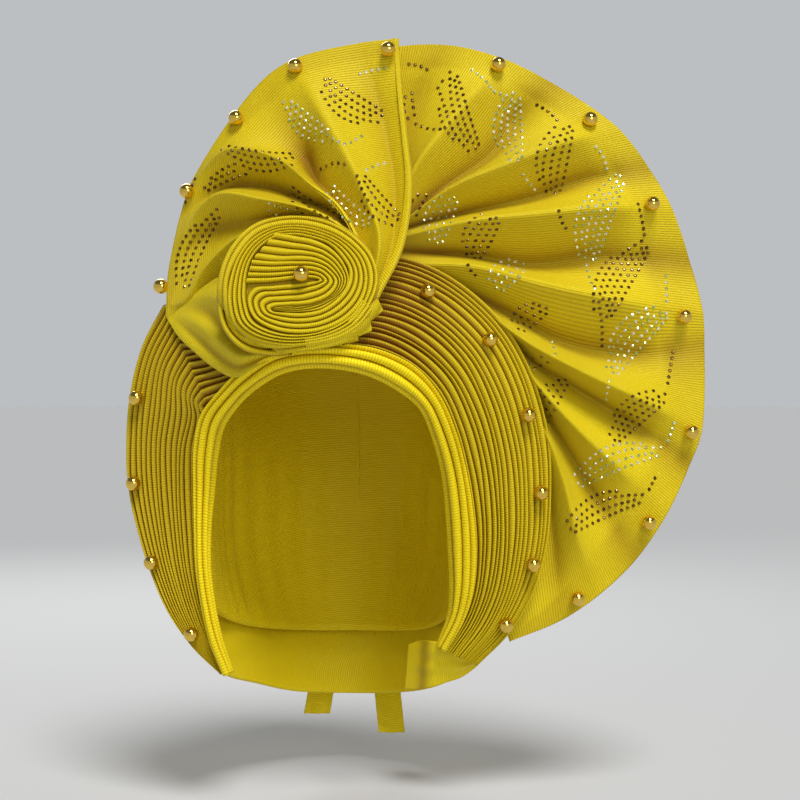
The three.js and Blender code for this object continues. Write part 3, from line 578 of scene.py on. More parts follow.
def brim_base(t, w):
    """Straight across from behind the roll to the outer edge, bulging forward by a sine."""
    inner = mix(curve(RIGHT_SEAM, t), curve(RIGHT_RIM, t), 0.3)
    across = mix(inner, curve(RIGHT_EDGE, t), w[..., None])
    tucked = TUCK * np.clip(1 - w / 0.08, 0, 1)
    return across + FRONT * (BRIM_BULGE * np.sin(np.pi * w) - tucked)[..., None]


brim_widths = np.array([1.1] * 13 + [1.2, 1.15, 1.0, 0.9, 0.85])
brim_depths = np.array([1] * 13 + [1.1, 1.3, 1.5, 1.7, 1.6])
along = np.linspace(0, 1, 250)
# Painted shade in the creases, spread widest at the top, and painted shade on all of the cloth at the
# top.
painted_shade_spread = 0.22 + 0.5 * smooth(along, 0.12, 0.55)[:, None]
brim = add_pleats("right_brim_pleats", brim_base, along, 18, 3.1, 5, pleat_cloth, samples=8,
                  proud=0.9, stray=0.40, widths=brim_widths, depths=brim_depths,
                  narrow=painted_shade_spread, shade=0.38 * (1 - smooth(along, 0.12, 0.42)[:, None]))
finish_cloth(brim, (0.11, 0.27), "folded", ["crown_cap"], "right_brim")

# %% [markdown]
# The left wing: the same pleats rise beside the opening, turn sharply at a mitre line, and run to
# the right under the swathe. The turn could be made as two pieces that meet. One strip keeps the
# pleats whole, so its base is bent at the mitre and every pleat turns with it.

# %% Left wing
MITRE_INNER = np.array([(-65, -63, 12), (-62.5, -65, 15)])
MITRE_OUTER = np.array([(-100.5, -38, 45.5), (-88.5, -42, 68)])
ENDS_INNER = np.array([-40, -74, 23])
ENDS_OUTER = np.array([-82, -46, 62])
MITRE_AT = 0.8


def wing_base(t, w):
    """Up to the mitre, between the seam and the outer edge; past it, straight to the ends."""
    rise = np.minimum(t / MITRE_AT, 1)
    inner = curve(np.vstack([mix(LEFT_SEAM, LEFT_RIM, 0.3), MITRE_INNER]), rise)
    outer = curve(np.vstack([LEFT_EDGE, MITRE_OUTER]), rise)
    share = np.clip((t - MITRE_AT) / (1 - MITRE_AT), 0, 1)[..., None]
    wide = w[..., None]
    risen = mix(inner, outer, wide)
    return soften(mix(risen, mix(ENDS_INNER, ENDS_OUTER, wide), share), 1)


def wing_loose(t):
    """The pleats are pressed at the tip, and stand up where they turn at the mitre."""
    return 0.3 + 0.7 * smooth(t, 0, 0.12) + 0.4 * np.exp(-(((t - MITRE_AT) / 0.05) ** 2))


along = np.linspace(0, 1, 220)
# Painted shade on all of the wing, and in its creases, where it spreads wider past the mitre.
painted_shade_spread = 0.8 - 0.4 * smooth(along, 0.68, 0.84)[:, None]
wing = add_pleats("left_wing_pleats", wing_base, along, 15, 3.0, 8, pleat_cloth, samples=8,
                  proud=0.9, stray=0.36, loose=wing_loose, narrow=painted_shade_spread, shade=0.2)
finish_cloth(wing, (0.085, 0.21), "folded", ["crown_cap"], "left_wing")

# %% [markdown]
# The fan: stiff cloth in sharp folds that start behind the brim or the panel and open to the rim. A
# row of the table is one fold line, as five points from its foot to the rim, and how far it
# stands out or in. Between two lines the cloth is nearly flat, as stiff cloth is. That is why fold
# lines describe it better than waves would. Painted shade lies at the foot, on the facets below
# each ridge, which face down, in the hollows of the folds, and where the valleys reach the rim.

# %% The fan's fold lines
FAN_FOLDS = [
    ("hidden edge", [(22, 98), (14, 121), (4, 146), (-6, 170), (-18, 189)], 2),
    ("edge behind the panel", [(30, 97), (28, 125), (26, 150), (22, 178), (17, 204)], 0),
    ("valley 1", [(34, 106), (39.5, 133.5), (44.5, 161), (52, 186), (61.5, 209)], -4),
    ("ridge 1", [(36, 107.5), (46, 139), (67, 167.5), (81, 184.5), (93.5, 201.5)], 6),
    ("valley 2", [(36.5, 108), (60, 128), (89, 149), (104, 172), (122, 188.5)], -7),
    ("ridge 2", [(37, 107.5), (65.5, 129), (98, 143.5), (130, 156), (157, 164.5)], 8),
    ("valley 3", [(37.3, 106.5), (74.5, 117), (110, 125.5), (142, 137), (175.5, 142.5)], -8),
    ("ridge 3", [(37.6, 102), (74.5, 111), (113, 116), (151, 120), (187.5, 121)], 9),
    ("valley 4", [(38, 95), (74.5, 94), (110, 89.5), (150, 94), (198.5, 92)], -8),
    ("ridge 4", [(40.5, 88), (76.5, 87.5), (114.5, 79), (158, 70.5), (205, 64.5)], 9),
    ("valley 5", [(62, 80), (95.5, 64), (130, 46), (166.5, 40.5), (206.5, 45)], -8),
    ("ridge 5", [(80, 67), (106.5, 47), (137, 31), (170, 16), (204.5, -1)], 9),
    ("valley 6", [(92.5, 54), (115, 34), (138, 20.5), (167.5, 2), (198.5, -19.5)], -7),
    ("ridge 6", [(101, 40), (117, 19), (135, 0), (156, -19), (186, -45.5)], 7),
    ("valley 7", [(108, 24), (119, 7), (131, -12), (147, -39), (169, -72)], -6),
    ("ridge 7", [(113, 8), (120, -6), (128, -28), (136, -58), (149, -91)], 6),
    ("valley 8", [(116, -22), (120, -37), (122.5, -57), (125, -80), (128.5, -105.5)], -3),
    ("lower edge", [(95, -107), (96.5, -109), (97.5, -111.5), (98.5, -114.5), (99.5, -117.5)], 0),
]
FAN_FOOT_BACK = 4.0
FOLD_DEPTH = 1.45


def fold_surface(lines, lifts, rim, depth, steps, across, swell, sharp):
    """Cloth between fold lines. Columns run from line to line, rows from foot to rim. A column's
    place is a straight mix of its two lines, moved out to the smooth rim near the end. Its lift
    goes from valley to ridge by the power sharp of the share: 1 is a flat facet, and more makes
    ridges sharper and valleys softer."""
    r = np.linspace(0, 1, across)
    grid = np.array([curve(line, r) for line in lines])
    place = np.linspace(0, len(lines) - 1, (len(lines) - 1) * steps + 1)
    low = np.minimum(place.astype(int), len(lines) - 2)
    share = place - low
    points = mix(grid[low], grid[low + 1], share[:, None, None])
    chord = mix(rim[low], rim[low + 1], share[:, None])
    arc = curve(rim, place / (len(lines) - 1)) - chord
    points = points + arc[:, None] * (r**2)[None, :, None]
    first, second = lifts[low], lifts[low + 1]
    rising = second > first
    eased = np.where(rising, share**sharp, 1 - (1 - share) ** sharp)
    lift = mix(first, second, eased)
    points = depth(points, place, r)
    points[..., 1] -= lift[:, None] * swell(r)[None, :]
    return np.swapaxes(points, 0, 1)


def fan_depth(points, place, r):
    """The fan leans back from just behind the brim's outer edge to its rim: most at the top, less
    at the side and least at the bottom."""
    edge = curve(RIGHT_EDGE, np.linspace(0, 1, 200))
    foot = points[:, 0]
    gap = np.hypot(foot[:, None, 0] - edge[None, :, 0], foot[:, None, 1] - edge[None, :, 2])
    foot_y = edge[np.argmin(gap, axis=1), 1] + FAN_FOOT_BACK
    z = points[..., 1]
    rim_y = mix(mix(-22, -34, np.clip((z - 90) / 120, 0, 1)), -17, np.clip((-50 - z) / 65, 0, 1))
    y = mix(foot_y[:, None], rim_y, r[None, :])
    return np.stack([points[..., 0], y, z], axis=-1)


def fan_swell(r):
    """Folds are tight at the foot, open a third of the way out, and fade close to the rim."""
    return FOLD_DEPTH * mix(0.25, 1.0, smooth(r, -0.05, 0.36)) * mix(1.0, 0.18, smooth(r, 0.66, 0.95))


fan_lines = np.array([points for _, points, _ in FAN_FOLDS], float)
fan_lifts = np.array([lift for _, _, lift in FAN_FOLDS], float)
fan_points = fold_surface(fan_lines, fan_lifts, fan_lines[:, -1], fan_depth, 12, 170, fan_swell, 1.05)
fan_points = soften(soften(fan_points, 1, axis=1), 2)


def painted_fan_shade(rows, columns):
    """How much painted shade the fan gets at each point: a part at the foot, which reaches further out
    in the valleys; a part on the facets below a ridge, which face down; and a band at the rim that
    is darker where a valley reaches it."""
    r = np.linspace(0, 1, rows)[:, None]
    place = np.linspace(0, len(FAN_FOLDS) - 1, columns)
    low = np.minimum(place.astype(int), len(FAN_FOLDS) - 2)
    share = place - low
    faces_down = fan_lifts[low + 1] < fan_lifts[low]
    facet = smooth(share, 0.0, 0.12) * (1 - 0.5 * smooth(share, 0.8, 1.0))
    under_ridge = np.where(faces_down, facet, 0)
    valley = smooth(-mix(fan_lifts[low], fan_lifts[low + 1], share), -3, 7)
    at_foot = (0.25 + 0.30 * valley) * (1 - smooth(r, 0.0, 0.15 + 0.25 * valley))
    on_facets = 0.15 * under_ridge * (1 - smooth(r, 0.78, 0.88))
    at_rim = (0.07 + 0.26 * valley) * smooth(r, 0.84, 0.885)
    return at_foot + on_facets + at_rim


# Painted shade on the fan: half as deep as its hollows, plus the pattern above.
fan_painted_shade = 0.5 * hollows(fan_points, 24, 2.5) + painted_fan_shade(*fan_points.shape[:2])
rim_length = length_along(fan_points[-1:], 1)
u, v = plain_uv(np.repeat(rim_length, len(fan_points), axis=0), length_along(fan_points))
fan = add_surface("fan_cloth", fan_points, u, v, fan_cloth, wall=1.2, crease=fan_painted_shade)
finish_cloth(fan, (0.14, 0.47), "folded", ["right_brim_pleats"], "fan_panel", area=0.045)

# %% [markdown]
# The swirl panel: its folds start at the rim and wind down to the rosette's right side. It is
# made like the fan, but its fold lines need a depth at every point, because they climb over one
# another. Its ribs cross the folds, so here u runs along the folds.

# %% The swirl panel's fold lines
PANEL_FOLDS = [
    ("right edge", [(27.5, -93, 68), (39.5, -86, 93), (44.5, -70, 127.5), (42.5, -57, 153.5),
                    (40, -47, 180.5), (38, -40, 211)], 0),
    ("hollow", [(25.5, -92, 71), (34.5, -85, 95.5), (36, -70, 125.5), (32, -57, 153.5),
                (25.5, -47, 180.5), (16, -39, 208.5)], -5),
    ("soft ridge", [(25, -92, 75), (28.5, -86, 99), (19, -73, 126.5), (9, -63, 147.5),
                    (-3.5, -51, 169.5), (-19, -37, 200)], 6),
    ("deep crease", [(24, -91, 81), (14.5, -83, 105.5), (4, -74, 121), (-6, -66, 132.5),
                     (-14, -55, 153), (-38, -36, 187)], -8),
    ("upper ridge", [(23, -90, 86.5), (6.5, -77, 116), (-7.5, -69, 127.5), (-25.5, -58, 143),
                     (-55, -46, 149.5), (-73.5, -34, 135.5)], 8),
    ("upper pocket", [(22, -89, 87.5), (7, -78, 112), (-10.5, -69, 121), (-34, -58, 130),
                      (-56.5, -47, 130), (-80.5, -34, 116)], -8),
    ("middle ridge", [(24.5, -90, 84), (13.5, -84, 100), (-5.5, -76, 112.5), (-33, -64, 120.5),
                      (-60, -50, 124.5), (-83.5, -36, 101)], 8),
    ("lower pocket", [(20.5, -88, 88.5), (3, -80, 106), (-18, -73, 113.5), (-41.5, -64, 110),
                      (-64, -50, 105.5), (-86.5, -39, 83.5)], -7),
    ("lower ridge", [(3, -85, 107), (-24, -78, 108.5), (-43.5, -69, 102.5), (-63.5, -58, 86.5),
                     (-75.5, -51, 69), (-86.5, -44, 66.5)], 5),
    ("last hollow", [(-12.5, -84, 104), (-32.5, -77, 98.5), (-49, -69, 88), (-59.5, -61, 75),
                     (-68, -55, 62.5), (-86.5, -46, 61)], -3),
    ("lip", [(-33, -84, 87), (-47, -77, 82), (-55.5, -69, 73), (-64.5, -61, 62), (-72.5, -55, 57),
             (-85, -46, 58)], 0),
]


def panel_swell(r):
    """Folds are tight under the rosette, and fade close to the rim."""
    return FOLD_DEPTH * mix(0.35, 1.0, smooth(r, 0.0, 0.4)) * mix(1.0, 0.1, smooth(r, 0.7, 1.0))


PUCKER, PUCKER_AT = 5.0, 0.68            # its depth, and its place on the deep crease
PUCKER_ACROSS, PUCKER_ALONG = 0.32, 0.11
PANEL_PAINTED_SHADE = 0.07
DEEP_CREASE = [name for name, _, _ in PANEL_FOLDS].index("deep crease")


def panel_depth(points, place, r):
    """The deep crease starts in a pucker: a bell-shaped hollow round one point of its line."""
    across = (place[:, None] - DEEP_CREASE) / PUCKER_ACROSS
    along_crease = (r[None, :] - PUCKER_AT) / PUCKER_ALONG
    bell = np.exp(-(across**2) - along_crease**2)
    return points - FRONT * (PUCKER * bell)[..., None]


panel_lines = np.array([points for _, points, _ in PANEL_FOLDS], float)
panel_lifts = np.array([lift for _, _, lift in PANEL_FOLDS], float)
panel_points = fold_surface(panel_lines, panel_lifts, panel_lines[:, -1],
                            panel_depth, 15, 150, panel_swell, 1.25)
panel_points = soften(soften(panel_points, 2, axis=1), 2)
# Painted shade on the panel: in its hollows, in a band at its rim, and a little on all of it.
panel_rim_painted_shade = 0.12 * smooth(np.linspace(0, 1, len(panel_points)), 0.93, 0.95)[:, None]
panel_painted_shade = 0.8 * hollows(panel_points, 40, 4.0) + panel_rim_painted_shade + PANEL_PAINTED_SHADE
from_rim = length_along(panel_points[::-1])[::-1]
u, v = plain_uv(from_rim, length_along(panel_points, 1))
panel = add_surface("swirl_panel_cloth", panel_points, u, v, fan_cloth, wall=1.2, crease=panel_painted_shade)
finish_cloth(panel, (0.14, 0.18), "folded", ["right_brim_pleats"], "swirl_panel", area=0.0205)

# %% [markdown]
# The panel's right edge is folded over to hide the raw cut. The fold is a flat band that lies on
# the panel along its edge, with a rounded side. It could be a turn in the panel's own grid, but a
# strip of its own keeps both grids even.

# %% The panel's folded edge
edge_line = panel_points[:, 0]
inward_way = unit(panel_points[:, 8] - edge_line)
lifted = outward(panel_points, FRONT)[:, 1]
r = np.linspace(0, 1, len(edge_line))[:, None]
w = np.linspace(0, 1, 11)[None, :]
band_width = mix(5.5, 3.0, smooth(r, 0.1, 0.6))
rounded = 1.1 * (1 - np.abs(2 * w - 1) ** 5) - 0.3
pressed = mix(1.0, 0.15, smooth(r, 0.75, 1.0))
points = edge_line[:, None] + inward_way[:, None] * (band_width * (w - 0.06))[..., None]
points = points + lifted[:, None] * ((rounded + 0.7 * w) * pressed)[..., None]
u, v = plain_uv(length_along(points), length_along(points, 1))
# Painted shade along both edges of the folded band.
hem = add_surface("panel_folded_edge", points, u, v, fan_cloth, crease=0.5 * np.abs(2 * w - 1) ** 8)
finish_cloth(hem, (0.010, 0.17), "folded", ["swirl_panel_cloth"], area=0.0008)

# %% [markdown]
# The swathe: plain cloth drawn from the left corner to under the rosette, over the pleat ends. Two
# edge lines with waves between them are enough for so small a piece.

# %% Under swathe
SWATHE_LOWER = np.array([(-85, -48, 59), (-79, -54, 50), (-68.5, -62.5, 40.5), (-57, -71.5, 32),
                         (-46, -79.5, 27.5), (-35, -86.5, 32.5), (-18, -93, 41)])
SWATHE_UPPER = np.array([(-76, -52, 67), (-64, -62, 76), (-54, -72, 80), (-46, -81, 74),
                         (-38, -88, 62), (-28, -92, 54), (-10, -95, 48)])


def swathe_points(rows, columns):
    """Between the lower and the upper edge, with soft folds that grow from the corner towards the
    rosette and crowd together at its side."""
    t = np.linspace(0, 1, rows)[:, None]
    w = np.linspace(0, 1, columns)[None, :]
    flat = mix(curve(SWATHE_LOWER, t[:, 0])[:, None], curve(SWATHE_UPPER, t[:, 0])[:, None], w[..., None])
    bend = w**0.8 + 0.10 * np.sin(2.5 * t)
    fold = np.sin(2 * np.pi * 2.6 * bend) * smooth(t, 0.0, 0.5) * smooth(w, 0.0, 0.25)
    return flat + FRONT * (2.9 * fold + 1.4 * np.sin(np.pi * w) * np.sin(np.pi * t) + 0.8)[..., None]


points = swathe_points(110, 56)
u, v = plain_uv(length_along(points), length_along(points, 1))
# Painted shade in the hollows of its folds.
swathe = add_surface("under_swathe_cloth", points, u, v, fan_cloth, wall=1.0,
                     crease=0.8 * hollows(points, 24, 1.2))
finish_cloth(swathe, (0.035, 0.070), "stretched", ["left_wing_pleats"], "under_swathe")

# %% [markdown]
# The rosette is a strip of pleats that winds like a letter S and then round itself. Two guide
# lines, the near and the far edge of the strip, are enough: all pleats lie between them. The
# strip starts at cut ends on the left, turns round the tip of a slit on the right, comes back
# below it, turns round a tongue on the left, and then winds once round the whole. A formula for a
# spiral would be shorter, but has neither the S nor the tongue. The tongue and the outer loop are
# strips of their own.

# %% The rosette's guide lines
ROSETTE_PLACE = np.array([-11.0, -91.5, 76.0])
DOME_HALF_WIDTH, DOME_HALF_HEIGHT, DOME_RISE = 43.0, 37.0, 11.5
DOME_TILT = 0.12
WINDING = [
    ((-27.5, -1.5), (-24, 11)), ((-15, -1), (-15, 10)), ((-3, 0.5), (-3, 10)),
    ((5, 1), (6.5, 9.5)), ((8.5, 0.5), (13.5, 6.5)), ((9, 0), (19, -0.5)),
    ((5, -0.5), (15.5, -7.5)), ((-4.5, -1.5), (6, -12)), ((-15, -2.5), (-6, -13)),
    ((-23.5, -3.5), (-12, -13.5)), ((-27, -8.5), (-14.5, -14.5)), ((-24.5, -18), (-13, -15.5)),
    ((-15, -24.5), (-6, -16)), ((-2, -27), (2, -16)), ((11, -25.5), (11, -14)),
    ((23, -20), (18.5, -8.5)), ((31.5, -10), (23, -2)), ((34, 1), (24, 5)),
    ((31.5, 11), (20.5, 11.5)), ((23, 20), (13.5, 18.5)), ((11, 26), (5, 21.5)),
    ((-2, 28.5), (-4.5, 23)), ((-15, 27), (-13.5, 21.5)), ((-25, 21.5), (-21.5, 15.5)),
    ((-32, 12.5), (-26, 7.5)), ((-36.5, -1.5), (-27.5, -3)), ((-37, -12), (-27, -12)),
    ((-34.5, -21.5), (-24, -20)), ((-26.5, -28.5), (-16.5, -24.5)), ((-11, -32.5), (-6, -27)),
    ((4.5, -32), (6, -26.5)), ((20, -28.5), (16.5, -23)), ((30, -22), (25, -17.5)),
    ((36, -14.5), (31, -9.5)),
]
TONGUE = [
    ((-24, 11), (-12, 25)), ((-12, 9.5), (-2, 23)), ((-2, 10), (7, 21)), ((6.5, 9.5), (15, 17)),
    ((13.5, 6.5), (21.5, 10)), ((19, -0.5), (24.5, 1.5)), ((15.5, -7.5), (23.5, -4)),
    ((6, -12), (17.5, -10)), ((-6, -13), (10.5, -14.5)), ((-12, -13.5), (-4.5, -16)),
    ((-14.5, -14.5), (-14, -15)),
]
OUTER_LOOP = [
    ((27.5, -24), (29, -30)), ((14, -28.5), (15, -34)), ((0, -31), (0, -36)),
    ((-13, -31.5), (-14, -37.5)), ((-25, -28), (-29, -35)), ((-33.5, -20.5), (-39, -25.5)),
    ((-36.5, -11), (-43, -13)), ((-36.5, 1), (-42.5, 2)), ((-31, 14), (-36.5, 17.5)),
    ((-21.5, 24.5), (-24.5, 29.5)), ((-6, 28.5), (-6.5, 33.5)), ((11, 26), (12, 31)),
    ((23, 20), (25.5, 24.5)), ((31.5, 11), (35.5, 14)), ((34, 1), (39, 2)), ((31.5, -10), (36.5, -9.5)),
    ((23.5, -20), (27.5, -23)),
]


def on_dome(x, z, forward):
    """A point on the rosette's oval dome, which falls off as the root of one less the fourth
    power of the distance from its middle, and leans back a little with height."""
    r = np.hypot(x / DOME_HALF_WIDTH, z / DOME_HALF_HEIGHT)
    dome = DOME_RISE * np.sqrt(np.clip(1 - r**4, 0, 1))
    y = DOME_TILT * z - dome - forward
    return ROSETTE_PLACE + np.stack([x, y, z], axis=-1)


def ribbon(guides):
    """A function of t and w that gives points between the two guide lines, on the dome."""
    near = np.array([pair[0] for pair in guides], float)
    far = np.array([pair[1] for pair in guides], float)

    def base(t, w):
        flat = mix(curve(near, t), curve(far, t), w[..., None])
        return on_dome(flat[..., 0], flat[..., 1], 0.6)

    return base


# Like all pleats, the rosette's get painted shade in their creases.
winding = add_pleats("rosette_winding", ribbon(WINDING), np.linspace(0, 1, 560), 4, 2.8, 11,
                     rosette_cloth, samples=10, proud=0.8, stray=0.12, lean=0.0, wall=0.0)
tongue = add_pleats("rosette_tongue", ribbon(TONGUE), np.linspace(0, 1, 230), 4, 2.8, 12,
                    rosette_cloth, samples=10, proud=0.7, stray=0.1, lean=0.0, wall=0.0)
outer = add_pleats("rosette_outer_loop", ribbon(OUTER_LOOP), np.linspace(0, 1, 320), 2, 2.6, 13,
                   rosette_cloth, samples=10, proud=0.6, stray=0.5, lean=0.0, wall=0.0, power=0.42)
finish_cloth(winding, (0.018, 0.43), "folded", ["swirl_panel_cloth"], "rosette")
finish_cloth(tongue, (0.016, 0.12), "folded", ["swirl_panel_cloth"])
finish_cloth(outer, (0.012, 0.22), "folded", ["swirl_panel_cloth"])

# %% [markdown]
# Under the rosette's lower right side two ends of the strip lie flat on each other like stairs.
# They are short and have no pleats, so each is a plain band on the dome.

# %% Rosette ends
FLAT_ENDS = [
    ("rosette_end_long", -0.6, [((10, -27), (12, -32)), ((22, -22), (26, -27)), ((32, -14), (36, -19.5)),
                                ((38.5, -8.5), (41.5, -14.4))]),
    ("rosette_end_middle", 0.4, [((2, -28.5), (3, -34)), ((14, -26.5), (16, -32)),
                                 ((25, -22), (27.5, -28.5)), ((34.7, -17.3), (35.7, -25.0))]),
]
for name, forward, guides in FLAT_ENDS:
    near = np.array([pair[0] for pair in guides], float)
    far = np.array([pair[1] for pair in guides], float)
    t = np.linspace(0, 1, 90)
    w = np.linspace(0, 1, 12)[None, :, None]
    flat = mix(curve(near, t)[:, None], curve(far, t)[:, None], w)
    points = on_dome(flat[..., 0], flat[..., 1], forward + 0.7 * np.sin(np.pi * w[..., 0]))
    u, v = plain_uv(length_along(points), length_along(points, 1))
    # Painted shade along the near edge of each end.
    end = add_surface(name, points, u, v, rosette_cloth, wall=0.9, crease=0.5 * (1 - w[..., 0]) ** 6)
    finish_cloth(end, (0.010, 0.034), "folded", ["swirl_panel_cloth"])

# %% [markdown]
# Behind the pleats lies a plain dome of cloth. Without it one could see between two turns of the
# strip.

# %% Rosette backing
BACKING_HALF_WIDTH, BACKING_HALF_HEIGHT, BACKING_BEHIND = 39.5, 34, 1.9
turn = np.linspace(0, 2 * np.pi, 97)[:, None]
r = np.linspace(0, 1, 24)[None, :]
points = on_dome(BACKING_HALF_WIDTH * r * np.cos(turn), BACKING_HALF_HEIGHT * r * np.sin(turn),
                 -BACKING_BEHIND)
points[..., 1] += 4 * smooth(r, 0.86, 1.0)
u, v = plain_uv(length_along(points, 1), turn * 36 + 0 * r)
# Painted shade, half of the full brown, all over the backing, which lies in shade behind the pleats.
backing = add_surface("rosette_backing", points, u, v, rosette_cloth, crease=0.5, weld=True)
finish_cloth(backing, (0.080, 0.070), "stretched", ["swirl_panel_cloth"])

# %% [markdown]
# The cap closes the head tie behind the band. It isn't seen in the photograph, so it is finished
# plainly, in ribbed cloth of the same colour. A half ball would be too round, so its form is a
# rounded box: a sum of powers of the place across and the place front to back, drawn in at the
# lower back. Soft gathers at its edge show that it is cloth.

# %% Crown cap
CAP_HALF_WIDTH, CAP_FRONT, CAP_BACK, CAP_TOP, CAP_MIDDLE = 73.0, 86.0, 96.0, 93.0, -8.0
CAP_POWER = 2.4
CAP_SLOPE = 0.09


def cap_wall(angle, z, out):
    """A point of the cap at that angle round it from the front, in radians, and that height."""
    length = np.where(np.cos(angle) > 0, CAP_FRONT, CAP_BACK)
    flat = (np.abs(np.sin(angle) / CAP_HALF_WIDTH) ** CAP_POWER
            + np.abs(np.cos(angle) / length) ** CAP_POWER)
    height = np.clip((z - CAP_MIDDLE) / (CAP_TOP - CAP_MIDDLE), 0, 1)
    above = (1 - height**CAP_POWER) ** (1 / CAP_POWER)
    behind = smooth(np.degrees(np.abs(angle)), 70, 130)
    low = np.clip((-50 - z) / 70, 0, None)
    radius = flat ** (-1 / CAP_POWER) * above * (1 - 0.25 * behind * low**2) + out
    y = -radius * np.cos(angle)
    return np.stack([radius * np.sin(angle) + CAP_SLOPE * (y + 50), y, z], axis=-1)


CAP_HEM = np.array([
    (70, -18, -99), (64, 8, -109), (55, 34, -117), (36, 60, -122), (11, 69, -123), (-16, 62, -122),
    (-42, 36, -117), (-58, 8, -109), (-66, -20, -97),
])


def cap_edge():
    """The cap's lower edge: just outside the roll's turned edge in front, then the hem behind."""
    rim, seam = BAND_RIM[3:21], BAND_SEAM[3:21]
    front = rim + unit(seam - rim) * 5.2 + np.array([0, 4.4, 0])
    return np.vstack([front, CAP_HEM, front[:1]])


def cap_points(rings, slack):
    """From the edge up to the top. Near the edge the cap follows the edge; above, cap_wall. Its
    gathers at the edge and its soft folds above are as deep as slack, in millimetres."""
    edge = curve(cap_edge(), np.linspace(0, 1, 361))
    aside = edge[:, 0] - CAP_SLOPE * (edge[:, 1] + 50)
    angle = np.arctan2(aside, -edge[:, 1])
    share = np.linspace(0, 1, rings)[None, :]
    z = mix(edge[:, 2:3], CAP_TOP, np.sin(share * np.pi / 2) ** 1.2)
    wall = cap_wall(angle[:, None] + 0 * z, z, 0)
    shift = edge - cap_wall(angle, edge[:, 2], 0)
    round_way = angle[:, None]
    gathers = np.sin(30 * round_way + 0.9 * np.sin(7 * round_way)) * (1 + 0.4 * np.sin(5 * round_way))
    gathers = gathers * np.sin(np.pi * np.clip(share * 2.0, 0, 1)) ** 0.7 * (1 - share)
    folds = np.sin(8 * round_way + 3 * np.sin(2 * round_way + 4 * share)) * np.sin(np.pi * share)
    pulled = unit(wall * [1, 1, 0]) * (slack * (0.9 * gathers + 0.8 * folds))[..., None]
    return wall + shift[:, None] * ((1 - share) ** 2)[..., None] - pulled


points = cap_points(48, 1.0)
tight = cap_points(48, 0.0)
CAP_CENTRE = np.array([0, 0, -20.0])
from_top = length_along(tight[:, ::-1], 1)[:, ::-1]
u, v = plain_uv(from_top, length_along(tight))
# Painted shade in the hollows of the cap's gathers and folds.
cap = add_surface("crown_cap_cloth", points, u, v, plain_cloth, points - CAP_CENTRE, wall=1.2,
                  weld=True, crease=0.35 * hollows(points, 12, 0.8, 0, points - CAP_CENTRE))
finish_cloth(cap, (0.26, 0.34), "stretched", ["front_roll_pleats"], "crown_cap")

# %% [markdown]
# The cap has a seam over its middle, as if it were sewn from two halves: a narrow ridge of cloth
# that shows on the outside and on the inside. A bump in the finish would be quicker, but the ridge
# is a real form, so it is an oval carried along a line on the cap's wall.

# %% Seam of the cap
climb = np.linspace(0.18, np.pi / 2, 70)
seam_z = CAP_MIDDLE + (CAP_TOP - CAP_MIDDLE) * np.sin(climb) ** 0.8
up_front = cap_wall(0 * seam_z, seam_z, -0.6)
fall_z = np.concatenate([seam_z[::-1][1:], np.linspace(seam_z[0], -96, 60)[1:]])
down_back = cap_wall(0 * fall_z + np.pi, fall_z, -0.6)
seam_line = soften(np.vstack([up_front[seam_z > 48], down_back]), 6)
seam_out = unit((seam_line - CAP_CENTRE) * [0, 1, 1])
round_seam = np.linspace(0, 2 * np.pi, 13)[None, :, None]
points = seam_line[:, None] + np.array([1.0, 0, 0]) * 1.7 * np.cos(round_seam)
points = points + seam_out[:, None] * 1.5 * np.sin(round_seam)
u, v = plain_uv(length_along(points), length_along(points, 1))
seam = add_surface("crown_cap_seam", points, u, v, plain_cloth, points - seam_line[:, None])
seam_length = float(length_along(seam_line)[-1]) * MM
print("the cap's seam is", round(seam_length, 3), "m long")
finish_cloth(seam, (0.010, seam_length), "stretched", ["crown_cap_cloth"])

# %% [markdown]
# The nape wrap is plain cloth from the lower right end, round the back, to the left tip. It holds
# the piece on. It starts close behind the band at the right, ends at the left wing, and lies on the
# cap behind, so its upper edge takes its middle points from the cap's wall. Near its start the
# corner is folded in, and the fold gets painted shade.

# %% Nape wrap
NAPE_LOWER = np.array([
    (42, 4, -147), (49, -5, -146), (56, -12, -143.5), (65, -12, -140.5), (73, -10, -138),
    (81, -6, -133), (73, 8, -140), (58, 27, -150), (38, 50, -157), (10, 65, -160),
    (-22, 48, -156), (-44, 18, -146), (-54, -12, -138), (-56.5, -40.5, -130.5),
])
NAPE_UPPER = np.array([(44, 4, -122), (51, -8, -118), (57, -20, -117), (65, -20.5, -118),
                       (74, -18.5, -122), (83, -10, -123), (84, 6, -108)])
NAPE_UPPER_END = np.array([(-76, -4, -106), (-73, -39.5, -115.5)])
NAPE_ON_CAP = [           # degrees round the cap from its front, and height
    (115, -98), (145, -92), (180, -88), (215, -92), (250, -98),
]
NAPE_ABOVE_CAP = 2.4
CORNER_AT, CORNER_SPREAD = 0.105, 0.035  # where the corner is folded in, as a share of the way


def nape_points(rows, columns):
    """Between the two edges, with soft creases that run along it and fade at both ends."""
    turned = np.array([(a if a <= 180 else a - 360, z) for a, z in NAPE_ON_CAP], float)
    on_cap = cap_wall(np.radians(turned[:, 0]), turned[:, 1], NAPE_ABOVE_CAP)
    upper = np.vstack([NAPE_UPPER, on_cap, NAPE_UPPER_END])
    t = np.linspace(0, 1, rows)
    w = np.linspace(0, 1, columns)[None, :, None]
    flat = mix(curve(NAPE_LOWER, t)[:, None], curve(upper, t)[:, None], w)
    normal = outward(flat, flat - CAP_CENTRE)
    fade = np.sin(np.pi * t)[:, None, None]
    crease = np.sin(2 * np.pi * (2.6 * w + 0.25 * np.sin(5 * t)[:, None, None])) * 0.9 * fade
    return flat + normal * (0.6 + crease * np.sin(np.pi * w))


points = nape_points(200, 36)
u, v = plain_uv(length_along(points), length_along(points, 1))
